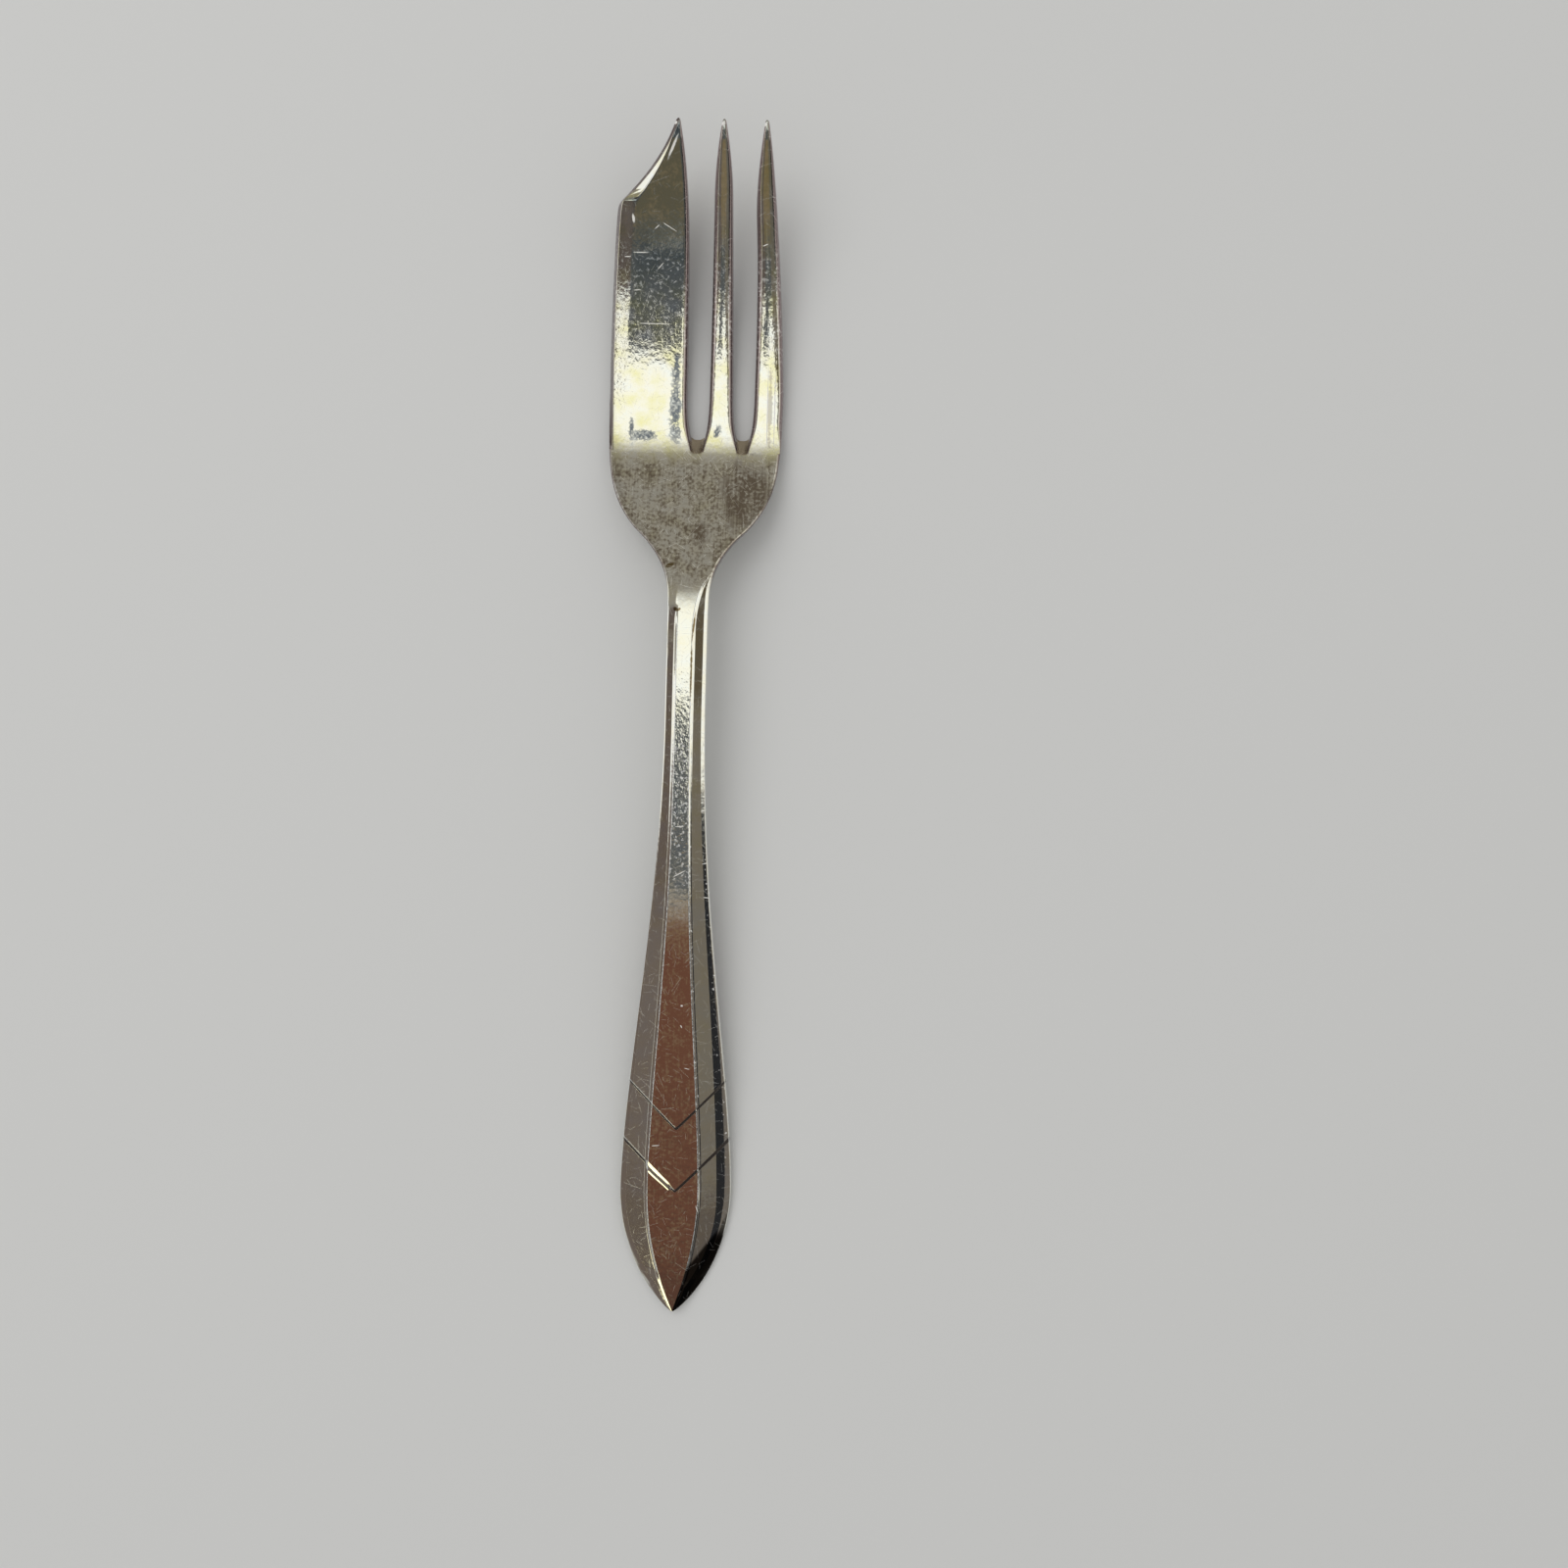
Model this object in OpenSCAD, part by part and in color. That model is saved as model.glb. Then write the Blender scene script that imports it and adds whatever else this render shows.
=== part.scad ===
// Pastry fork with a broad cutting tine on the left, drawn as the eight regions of one stamping.
// The handle points to -Y and the tine tips to +Y, the face is up, and the table is the plane z = 0.
// Every region is a loft of cross-sections, and neighbouring regions share the section where they meet.

/* [Lengths along the fork] */
// Slot root to tine tips
tine_len = 38.65; // [32:0.05:46]
// Shoulders to slot root
palm_len = 14.75; // [12:0.05:17]
// Narrow neck
neck_len = 17.8; // [14:0.1:24]
// Neck to the point of the first chevron
shaft_len = 52; // [42:0.5:64]
// Point of the first chevron to point of the second
chevron_pitch = 8; // [6:0.1:10]
// Point of the second chevron to the handle tip
end_len = 15.5; // [13:0.1:19]

/* [Widths] */
// Head across the outer edges
head_w = 21.9; // [19:0.1:26]
// Narrowest part of the neck
neck_w = 5; // [4:0.1:6.5]
// Widest part of the handle end
handle_w = 14; // [11:0.1:17]
// Slot between two tines
slot_w = 2.75; // [2.2:0.05:3.6]
// Middle tine at its root
middle_w = 2.95; // [2.2:0.05:3.6]
// Middle tine where its point begins
middle_end_w = 2.3; // [1.8:0.1:2.8]
// Outer tine at its root
outer_w = 3.65; // [2.8:0.05:4.4]
// Outer tine where its point begins
outer_end_w = 2.65; // [2.1:0.05:3.2]

/* [Side view] */
// Underside of the neck above the table
arch_lift = 4.4; // [3:0.1:6]
// Underside of the tine tips above the table
tip_lift = 9.4; // [6:0.1:12]
// Top of the neck's arch, back from the shoulders
arch_in = 10.5; // [8:0.5:13]
// Length of the flat heel under the slot roots
heel_len = 4; // [3:0.1:5]
// Start of that heel, back from the slot roots
heel_in = 1; // [0.5:0.1:1.5]
// Length of the flat under the handle tip
rest_len = 8.5; // [6.5:0.1:10.5]
// Thickness at the handle tip
end_thick = 1.7; // [1.3:0.05:2.1]
// Thickness at the widest part of the handle
handle_thick = 2.5; // [2:0.05:3]
// Thickness at the top of the neck
neck_thick = 2.9; // [2.3:0.05:3.5]
// Thickness of the palm
palm_thick = 2; // [1.6:0.05:2.5]
// Thickness of the tines where their points begin
tine_thick = 1.5; // [1.2:0.05:1.8]
// Thickness at the tine tips
tip_thick = 0.7; // [0.5:0.05:0.9]

/* [Handle relief] */
// Flat centre panel at the neck
panel_neck_w = 1.85; // [1.5:0.05:2.2]
// Flat centre panel at the widest part of the handle
panel_end_w = 6.4; // [5.2:0.1:7.6]
// Width of the step down from the panel
step_run = 0.3; // [0.2:0.05:0.4]
// Depth of that step
step_drop = 0.2; // [0.15:0.01:0.25]
// Slope of the flanks, in degrees
flank_tilt = 7; // [5:0.5:9]
// Bevel along the handle edges, at the neck
rim_neck_w = 0.45; // [0.35:0.05:0.6]
// Bevel at the widest part of the handle
rim_w = 1.3; // [1:0.05:1.6]
// Bevel towards the handle tip
rim_tip_w = 2.05; // [1.6:0.05:2.4]
// Slope of that bevel, in degrees
rim_tilt = 22; // [17:1:26]
// Shift of the relief to the left, which makes the right bevel the wider one
relief_shift = 0.3; // [0:0.05:0.3]
// Depth of each chevron step
chevron_drop = 0.22; // [0.15:0.01:0.3]
// Angle of the chevron arms to the width, in degrees
chevron_tilt = 45.5; // [35:0.5:50]
// Stretch in which the right flute beside the panel curves out to the edge and the left one fades
flute_len = 7; // [5.5:0.5:8.5]
// End of the flutes, back from the shoulders
flute_in = 1.2; // [0.8:0.1:1.6]

/* [Edges and points] */
// Rounding of the palm edges
palm_round = 0.35; // [0.25:0.05:0.45]
// Width over which the underside curves up to the edge
under_w = 1.2; // [0.9:0.1:1.5]
// Height of that curve
under_rise = 0.3; // [0.2:0.02:0.4]
// Rounding of the tine sides
tine_round = 0.6; // [0.45:0.05:0.75]
// Run of the sloping slot root
root_run = 2.2; // [1.6:0.1:2.8]
// Stretch in which that slope fades along the tines
root_fade = 8; // [6:0.5:10]
// Flat part of the slot root
root_flat = 1.4; // [1:0.05:1.8]
// Length of the rounded slot root
root_len = 9.5; // [7:0.5:12]
// Pointed part of the middle tine
middle_point = 8.6; // [6.8:0.2:10.4]
// Lean of the middle tine to the left
middle_lean = 0.15; // [0:0.05:0.5]
// Pointed part of the outer tine
outer_point = 11.8; // [9.4:0.2:14.2]
// Lean of the outer tine to the left
outer_lean = 0.95; // [0.5:0.05:1.4]
// Width of the blunt tine tips
tip_w = 0.2; // [0.15:0.01:0.3]
// Length of the hollow curve at the top of the cutting tine
hollow_len = 9.1; // [7.3:0.1:10.9]
// Depth of that curve, measured across the fork
hollow_depth = 0.95; // [0.5:0.05:1.4]
// Rounding of the corner where the hollow curve begins
corner_round = 0.5; // [0.3:0.05:0.8]
// Narrowing of the cutting tine along its outer edge
cut_taper = 0.9; // [0.5:0.05:1.3]
// Distance of the cutting tine's tip from the slot line
cut_tip_in = 1.2; // [0.8:0.05:1.6]
// Width of the bevel along the cutting edge
bevel_w = 2.3; // [1.7:0.1:2.9]
// Slope of that bevel, in degrees
bevel_tilt = 4; // [2.5:0.5:5.5]
// Width of the bevel left at the tine's tip
bevel_end_w = 0.3; // [0.2:0.05:0.4]
// Slope of the bevel along the hollow curve, in degrees
hollow_tilt = 25; // [18:1:32]
// Stretch in which the bevel runs out towards the palm
bevel_fade = 8; // [6:0.5:10]
// Width of the rounded cutting edge
edge_w = 0.5; // [0.4:0.05:0.6]
// Thickness left at the cutting edge
edge_thick = 0.35; // [0.25:0.05:0.5]

/* [Hidden] */

fork_len = end_len + chevron_pitch + shaft_len + neck_len + palm_len + tine_len;
tip_y = -fork_len / 2;
vee2_y = tip_y + end_len;
vee1_y = vee2_y + chevron_pitch;
neck_y = vee1_y + shaft_len;
shoulder_y = neck_y + neck_len;
root_y = shoulder_y + palm_len;
top_y = root_y + tine_len;
arch_y = shoulder_y - arch_in;
heel_y = root_y - heel_in;
vee_slope = tan(chevron_tilt);
// How late along the shaft its sections bend to the chevrons
vee_power = 1.6;

// Plan of the tine roots, from the outer edge inwards
outer_x = head_w / 2 - outer_w / 2;
middle_x = head_w / 2 - outer_w - slot_w - middle_w / 2;
cut_right = middle_x - middle_w / 2 - slot_w;
root_start = asin(root_flat / slot_w);

// How the handle's width and panel swell: the tip's fullness, the panel's lag, and the long flare's ease
tip_power = 0.77;
panel_power = 1.25;
flare_power = 0.79;
point_power = 1.85;
// Shares of the handle's rise in which its slope builds up and fades, and how late the palm falls
rise_build = 0.27;
rise_fade = 0.12;
fall_power = 4;
shoulder_shape = [[-0.4, 0], [-0.18, 0.02], [0.02, 0.13], [0.2, 0.342], [0.34, 0.575],
                  [0.45, 0.71], [0.63, 0.86], [0.78, 0.928], [1, 0.975], [1.4, 1]];
lean_shape = [[0, 0], [0.2, 0.01], [0.59, 0.42], [0.79, 0.89], [1, 1]];
thick_shape = [[tip_y, end_thick], [vee2_y, handle_thick], [arch_y, neck_thick],
               [heel_y, palm_thick], [top_y - middle_point, tine_thick], [top_y, tip_thick]];

// Limits for narrow places, as shares of the half width there, of the room beside the panel or of a tine
rim_share = 0.5;
curl_share = 0.4;
step_share = 0.35;
round_share = 0.22;
bevel_share = 0.5;
// Rounded bevel and tine sides: places across, and heights as shares of the drop or of the thickness
rim_middle = 0.38;
side_in = 0.35;
side_top = [0.45, 0.86];
side_low = [0.2, 0.04];
palm_side = 0.9;
// Share of the length after which the cutting tine's slot side bends to its tip
bend_start = 0.55;
// Share of the hollow curve in which the bevel steepens, and how fast it narrows there
corner_share = 0.15;
bevel_power = 1.5;

// Number of steps along each region
palm_steps = 16;
neck_steps = 12;
shaft_steps = 24;
band_steps = 5;
end_steps = 15;
root_steps = 7;
blade_steps = 9;
point_steps = 13;
// How close together the steps come at the tine tips
point_crowd = 1.3;

// A value kept between 0 and 1
function unit(r) = min(1, max(0, r));

// A smooth curve through points, flat beyond its ends
function chord(p, i) = (p[i + 1][1] - p[i][1]) / (p[i + 1][0] - p[i][0]);
function tangent(p, i) =
    i == 0 ? chord(p, 0) :
    i == len(p) - 1 ? chord(p, i - 1) :
    let(a = p[i][0] - p[i - 1][0], b = p[i + 1][0] - p[i][0])
    (b * chord(p, i - 1) + a * chord(p, i)) / (a + b);
function stretch(p, v, i = 0) = i >= len(p) - 2 || v < p[i + 1][0] ? i : stretch(p, v, i + 1);
function hermite(p, i, h, t) =
    p[i][1] * (1 + 2 * t) * pow(1 - t, 2) + h * tangent(p, i) * t * pow(1 - t, 2)
    + p[i + 1][1] * t * t * (3 - 2 * t) - h * tangent(p, i + 1) * t * t * (1 - t);
function curve(p, v) =
    v <= p[0][0] ? p[0][1] :
    v >= p[len(p) - 1][0] ? p[len(p) - 1][1] :
    let(i = stretch(p, v), h = p[i + 1][0] - p[i][0])
    hermite(p, i, h, (v - p[i][0]) / h);

// Plan: half width of the fork without its slots, and of the handle's centre panel, left at side -1
function flare(y) = (1 + cos(180 * pow(unit((y - vee2_y) / (neck_y - vee2_y)), flare_power))) / 2;
function taper(y) = 1 - pow(1 - unit((y - tip_y) / end_len), 2);
function half_w(y) =
    y < vee2_y ? tip_w / 2 + (handle_w - tip_w) / 2 * pow(taper(y), tip_power) :
    neck_w / 2 + (handle_w - neck_w) / 2 * flare(y)
    + (head_w - neck_w) / 2 * curve(shoulder_shape, (y - shoulder_y) / palm_len);
function flute_end(y) = pow(unit(1 - (shoulder_y - flute_in - y) / flute_len), 2);
function handle_rim(y) =
    y < vee2_y ? min(rim_w + (rim_tip_w - rim_w) * (1 - taper(y)), rim_share * half_w(y)) :
    rim_neck_w + (rim_w - rim_neck_w) * pow(flare(y), 2);
function rim(y) = handle_rim(y) + (palm_round - handle_rim(y)) * flute_end(y);
function panel(y, side) =
    y < vee2_y ? panel_end_w / 2 * taper(y) :
    let(p = (panel_neck_w + (panel_end_w - panel_neck_w) * pow(flare(y), panel_power)) / 2)
    side < 0 ? p : p + (half_w(y) - rim(y) - p) * flute_end(y);
function relief(y, side) = side < 0 ? 1 - flute_end(y) : 1;
function shift(y) = relief_shift * taper(y) * (1 - flute_end(y));

// Side view: underside, thickness and face
function ramp(u) =
    let(full = 2 / (2 - rise_build - rise_fade))
    u < rise_build ? full * u * u / (2 * rise_build) :
    u < 1 - rise_fade ? full * (u - rise_build / 2) :
    1 - full * pow(1 - u, 2) / (2 * rise_fade);
function late(u) = pow(u, fall_power) * (fall_power + 1 - fall_power * u);
function under(y) =
    y < tip_y + rest_len ? 0 :
    y < arch_y ? arch_lift * ramp((y - tip_y - rest_len) / (arch_y - tip_y - rest_len)) :
    y < heel_y ? arch_lift * (1 - late((y - arch_y) / (heel_y - arch_y))) :
    y < heel_y + heel_len ? 0 :
    tip_lift * pow((y - heel_y - heel_len) / (top_y - heel_y - heel_len), 2);
function face(y) = under(y) + curve(thick_shape, y);

// Sections of the handle and palm follow a V across the fork, straight at the neck, full at the chevrons
function vee(w) =
    w > vee1_y ? vee_slope * pow(unit((neck_y - w) / shaft_len), vee_power) :
    w > vee2_y ? vee_slope :
    vee_slope * (1 - unit((vee2_y - w) / end_len));
function edge_x(w, x = 0, n = 14) = n == 0 ? x : edge_x(w, half_w(w + vee(w) * x), n - 1);
function panel_x(w, side, x = 0, n = 14) =
    n == 0 ? x : panel_x(w, side, panel(w + vee(w) * x, side), n - 1);
function lean(w) = root_run * pow(unit((w - shoulder_y) / palm_len), 2);

// One half of a section, left at side -1: distances from the centre line, each with its depth below the face
function half_section(w, side) =
    let(edge = edge_x(w), y = w + vee(w) * edge, moved = side * shift(y))
    let(p = panel_x(w, side) - moved, bevel = rim(y) + moved)
    let(room = max(0, edge - bevel - p), step = min(step_run, step_share * room))
    let(foot = relief(y, side) * step_drop * step / step_run)
    let(flank = foot + relief(y, side) * (room - step) * tan(flank_tilt), drop = bevel * tan(rim_tilt))
    [[0, 0], [p / 2, 0], [p, 0], [p + step, foot], [p + (step + room) / 2, (foot + flank) / 2],
     [edge - bevel, flank], [edge - bevel / 2, flank + rim_middle * drop], [edge, flank + drop]];
function whole_section(w) =
    let(left = half_section(w, -1), right = half_section(w, 1))
    concat([for (i = [len(left) - 1 : -1 : 1]) [-left[i][0], left[i][1]]], right);
function curl(x, edge) =
    let(run = min(under_w, curl_share * edge))
    under_rise * pow(unit((abs(x) - edge + run) / run), 2);

// A closed section as face points from left to right, then underside points from right to left
function ring(upper, lower) = concat(upper, [for (i = [len(lower) - 1 : -1 : 0]) lower[i]]);
function slanted(x, z, y, run, top, bottom) = [x, y + run * (top - z) / (top - bottom), z];
function body_ring(w, tier = 0) =
    let(section = whole_section(w), edge = section[len(section) - 1][0], run = lean(w))
    let(ys = [for (s = section) w + vee(w) * abs(s[0])])
    let(tops = [for (y = ys) face(y) - tier * chevron_drop], lows = [for (y = ys) under(y + run)])
    ring([for (i = [0 : len(section) - 1])
              slanted(section[i][0], tops[i] - section[i][1], ys[i], run, tops[i], lows[i])],
         [for (i = [0 : len(section) - 1])
              slanted(section[i][0], lows[i] + curl(section[i][0], edge), ys[i], run, tops[i], lows[i])]);

// Tines: how far the round slot root narrows the slot, and the slope of that root
function root_inset(t) = slot_w / 2 * (1 - sin(acos(max(0, cos(root_start) - t / root_len))));
function root_slant(t) = root_run * pow(1 - unit(t / root_fade), 2);
function point_share(t, start) = 1 - pow(unit((t - start) / (tine_len - start)), point_power);
function tine_half(t, root_w, end_w, point) =
    let(start = tine_len - point)
    let(body = root_w + (end_w - root_w) * unit((t - root_fade) / (start - root_fade)))
    tip_w / 2 + (body - tip_w) / 2 * point_share(t, start);
function tine_ring(t, columns) =
    let(y = root_y + t, run = root_slant(t), top = face(y), low = under(y + run))
    ring([for (c = columns) slanted(c[0], low + (top - low) * c[1], y, run, top, low)],
         [for (c = columns) slanted(c[0], low + (top - low) * c[2], y, run, top, low)]);

// Columns of a tine section: place across, then upper and lower height as shares of the thickness
function left_side(x, r) =
    [[x, side_top[0], side_low[0]], [x + side_in * r, side_top[1], side_low[1]], [x + r, 1, 0]];
function right_side(x, r) =
    [[x - r, 1, 0], [x - side_in * r, side_top[1], side_low[1]], [x, side_top[0], side_low[0]]];
function narrow_columns(left, right) =
    let(r = min(tine_round, round_share * (right - left)))
    concat(left_side(left, r), [[(left + right) / 2, 1, 0]], right_side(right, r));
function middle_columns(t) =
    let(x = middle_x - middle_lean * (t / tine_len - 0.5))
    let(h = tine_half(t, middle_w, middle_end_w, middle_point))
    narrow_columns(x - h - root_inset(t), x + h + root_inset(t));
function outer_columns(t) =
    let(x = outer_x - outer_lean * curve(lean_shape, t / tine_len))
    let(h = tine_half(t, outer_w, outer_end_w, outer_point), shoulder = head_w / 2 - half_w(root_y + t))
    narrow_columns(x - h - root_inset(t), x + h - shoulder);

// The cutting tine's outer edge runs into the hollow curve at a rounded corner
function cut_right_x(t) =
    cut_right + root_inset(t) - cut_tip_in * pow(unit((t / tine_len - bend_start) / (1 - bend_start)), 3);
function cut_edge_x(t) =
    -half_w(root_y + t) + cut_taper * pow(unit((t - root_fade) / (tine_len - hollow_len - root_fade)), 2);
function hollow_place(t) = (t - tine_len + hollow_len) / hollow_len;
function hollow_x(t) =
    let(v = hollow_place(t), start = -head_w / 2 + cut_taper)
    start + (cut_right_x(tine_len) - tip_w - start) * v + 4 * hollow_depth * v * (1 - v);
function cut_left_x(t) =
    let(a = cut_edge_x(t), b = hollow_x(t))
    (a + b + sqrt(pow(a - b, 2) + pow(corner_round * point_share(t, tine_len - hollow_len), 2))) / 2;
function cut_columns(t) =
    let(left = cut_left_x(t), right = cut_right_x(t), fade = unit(t / bevel_fade), v = unit(hollow_place(t)))
    let(width = right - left, r = min(tine_round, round_share * width))
    let(b = min(bevel_end_w + (bevel_w - bevel_end_w) * pow(1 - v, bevel_power), bevel_share * width))
    let(e = min(edge_w, bevel_share * b))
    let(tilt = bevel_tilt + (hollow_tilt - bevel_tilt) * unit(v / corner_share))
    let(y = root_y + t, thick = face(y) - under(y + root_slant(t)))
    let(edge = palm_side + fade * (min(edge_thick / thick, bevel_share) - palm_side))
    let(land = 1 - fade * (b - e) * tan(tilt) / thick)
    let(low = (1 - fade) * under_rise / thick)
    let(outside = [[left, edge, low], [left + e, land, 0], [left + b, 1, 0]])
    let(inside = [for (i = [1 : 3]) [left + b + (width - b - r) * i / 4, 1, 0]])
    concat(outside, inside, right_side(right, r));

// Closed solid through a row of sections, each of which has as many points above as below
module loft(rings) {
    m = len(rings[0]);
    last = len(rings) - 1;
    half = m / 2;
    sides = [for (r = [0 : last - 1], j = [0 : m - 1])
        let(a = r * m + j, b = r * m + (j + 1) % m)
        each [[a, b, b + m], [a, b + m, a + m]]];
    caps = [for (i = [0 : half - 2])
        let(a = i, b = i + 1, c = m - 2 - i, d = m - 1 - i, e = last * m)
        each [[a, c, b], [a, d, c], [e + a, e + b, e + c], [e + a, e + c, e + d]]];
    polyhedron(points = [for (r = rings) each r], faces = concat(sides, caps));
}

// Region of the handle or palm between two places along the centre line
module body_region(from, to, steps, tier = 0) {
    loft([for (i = [0 : steps]) body_ring(from + (to - from) * i / steps, tier)]);
}

// Places along a tine: close together round the slot root and at the point
tine_places = let(root_end = root_len * cos(root_start), point = tine_len - outer_point)
    concat([for (i = [0 : root_steps - 1])
                root_len * (cos(root_start) - cos(root_start + (90 - root_start) * i / root_steps))],
           [for (i = [0 : blade_steps - 1]) root_end + (point - root_end) * i / blade_steps],
           [for (i = [0 : point_steps]) point + outer_point * (1 - pow(1 - i / point_steps, point_crowd))]);

module palm() {
    color("silver") body_region(root_y, shoulder_y, palm_steps);
}

module cutting_tine() {
    color("gainsboro") loft([for (i = [len(tine_places) - 1 : -1 : 0])
        tine_ring(tine_places[i], cut_columns(tine_places[i]))]);
}

module middle_tine() {
    color("lightgray") loft([for (i = [len(tine_places) - 1 : -1 : 0])
        tine_ring(tine_places[i], middle_columns(tine_places[i]))]);
}

module outer_tine() {
    color("gainsboro") loft([for (i = [len(tine_places) - 1 : -1 : 0])
        tine_ring(tine_places[i], outer_columns(tine_places[i]))]);
}

module neck() {
    color("lightgray") body_region(shoulder_y, neck_y, neck_steps);
}

module handle_shaft() {
    color("silver") body_region(neck_y, vee1_y, shaft_steps);
}

module chevron_band() {
    color("gainsboro") body_region(vee1_y, vee2_y, band_steps, 1);
}

module handle_end() {
    color("silver") body_region(vee2_y, tip_y, end_steps, 2);
}

palm();
cutting_tine();
middle_tine();
outer_tine();
neck();
handle_shaft();
chevron_band();
handle_end();
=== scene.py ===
# %% [markdown]
# # A pastry fork in worn silver plate
#
# The fork is one stamping: a broad cutting tine and two narrow tines on a flat palm, an arched neck, and a
# pointed handle whose flat panel lies between sloping flanks and is crossed by two chevron steps. The packed
# solids give its regions and its size. Each region is made again here as a smooth surface, and all of them
# get one finish: silver plate that has been polished, used and tarnished for years. Its colours also hold
# painted light: painted reflections, painted shade and painted glints.

# %% Load the packed solids
import math

import bpy
import numpy as np
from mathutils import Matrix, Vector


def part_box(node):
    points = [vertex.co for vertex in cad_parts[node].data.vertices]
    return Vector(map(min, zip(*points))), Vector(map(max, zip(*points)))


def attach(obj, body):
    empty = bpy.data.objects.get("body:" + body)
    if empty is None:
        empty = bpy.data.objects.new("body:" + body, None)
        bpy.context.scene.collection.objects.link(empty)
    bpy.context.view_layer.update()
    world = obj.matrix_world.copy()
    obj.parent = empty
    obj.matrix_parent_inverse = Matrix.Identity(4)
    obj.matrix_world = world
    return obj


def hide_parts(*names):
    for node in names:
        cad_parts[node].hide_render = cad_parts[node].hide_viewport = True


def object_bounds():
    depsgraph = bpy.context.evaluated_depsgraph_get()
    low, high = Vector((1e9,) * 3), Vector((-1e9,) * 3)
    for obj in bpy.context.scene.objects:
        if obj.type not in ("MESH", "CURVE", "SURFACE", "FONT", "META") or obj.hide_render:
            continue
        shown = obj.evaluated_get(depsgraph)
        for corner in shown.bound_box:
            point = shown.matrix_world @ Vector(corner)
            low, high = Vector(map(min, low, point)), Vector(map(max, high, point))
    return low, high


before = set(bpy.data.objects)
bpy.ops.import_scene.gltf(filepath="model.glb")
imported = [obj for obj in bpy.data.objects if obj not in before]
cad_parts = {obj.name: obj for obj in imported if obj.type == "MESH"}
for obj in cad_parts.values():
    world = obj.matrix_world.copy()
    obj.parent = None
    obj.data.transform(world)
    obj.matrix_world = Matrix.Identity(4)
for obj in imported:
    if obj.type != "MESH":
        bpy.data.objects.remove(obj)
cad_low, cad_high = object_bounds()
MM = 0.001
print("solids:", sorted(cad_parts), "length", round((cad_high.y - cad_low.y) / MM, 1), "mm")

# %% [markdown]
# ## Stations along the fork
#
# A stamping is drawn along its centre line, from the handle's tip to the tips of the tines. The places where
# one region ends and the next begins could be typed in again, but then they could drift away from the solids.
# They are read from the boxes of the packed regions instead. All shapes are worked out in millimetres, and
# only the finished meshes are scaled to Blender's metres.

# %% Read the stations from the frame
tip_y = cad_low.y / MM
vee2_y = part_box("chevron_band")[0].y / MM
vee1_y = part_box("handle_shaft")[0].y / MM
neck_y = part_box("neck")[0].y / MM
shoulder_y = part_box("palm")[0].y / MM
root_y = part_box("middle_tine")[0].y / MM
top_y = cad_high.y / MM
end_len = vee2_y - tip_y
palm_len = root_y - shoulder_y
tine_len = top_y - root_y
stations = [tip_y, vee2_y, vee1_y, neck_y, shoulder_y, root_y, top_y]
print("stations:", [round(y, 2) for y in stations])

# %% [markdown]
# ## Camera
#
# The fork is seen from straight above, from a little to its right and about 20 cm over the table, and it lies
# turned by a degree and a half. A lens as long as the sensor is wide gives the wide view of a pocket camera.
# Turning the camera and not the fork keeps every piece in the frame of the solids.

# %% Set up the camera
CAMERA_PLACE = (12.32, -6.63, 198.6)
CAMERA_TURN = 1.535
SENSOR = 36
camera_data = bpy.data.cameras.new("overhead")
camera_data.sensor_width = SENSOR
camera_data.lens = SENSOR
camera_data.clip_start = 10 * MM
camera = bpy.data.objects.new("overhead", camera_data)
camera.location = [c * MM for c in CAMERA_PLACE]
camera.rotation_euler = (0, 0, math.radians(CAMERA_TURN))
bpy.context.scene.collection.objects.link(camera)
bpy.context.scene.camera = camera
print("camera at", CAMERA_PLACE, "mm")

# %% [markdown]
# ## Outline
#
# Seen from above, the handle swells from its tip to the second chevron, narrows in a long flare to the neck,
# and opens again into the palm. One function of y gives the half width everywhere, so neighbouring regions
# agree where they meet. The palm's shoulders follow a curve through a few chosen points, because no simple
# formula has their shape.

# %% Half width of the fork
HEAD_W = 21.9
NECK_W = 5
HANDLE_W = 14
TIP_W = 0.2
FLARE_POWER = 0.79
END_POWER = 0.77
SHOULDERS = [(-0.4, 0), (-0.18, 0.02), (0.02, 0.13), (0.2, 0.342), (0.34, 0.575),
             (0.45, 0.71), (0.63, 0.86), (0.78, 0.928), (1, 0.975), (1.4, 1)]


def unit(r):
    """The value kept between 0 and 1."""
    return np.clip(r, 0, 1)


def ease(r):
    """A soft step from 0 to 1: three r squared less two r cubed."""
    return unit(r) ** 2 * (3 - 2 * unit(r))


def through(points, v):
    """A cubic Hermite curve through points. The slope at a point weighs the chords on both sides by the
    length of the other one, and beyond the ends the curve is level."""
    x, y = np.array(points, float).T
    h = np.diff(x)
    chord = np.diff(y) / h
    inner = (h[1:] * chord[:-1] + h[:-1] * chord[1:]) / (h[1:] + h[:-1])
    slope = np.concatenate([chord[:1], inner, chord[-1:]])
    i = np.clip(np.searchsorted(x, v) - 1, 0, len(h) - 1)
    t = unit((v - x[i]) / h[i])
    ends = y[i] * (1 + 2 * t) * (1 - t) ** 2 + y[i + 1] * t * t * (3 - 2 * t)
    return ends + h[i] * t * (1 - t) * (slope[i] * (1 - t) - slope[i + 1] * t)


def flare(y):
    """1 at the second chevron, 0 at the neck: half a cosine wave over an eased length."""
    return (1 + np.cos(np.pi * unit((y - vee2_y) / (neck_y - vee2_y)) ** FLARE_POWER)) / 2


def taper(y):
    """0 at the handle's tip, 1 at the second chevron: one less the square of the way left."""
    return 1 - (1 - unit((y - tip_y) / end_len)) ** 2


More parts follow.
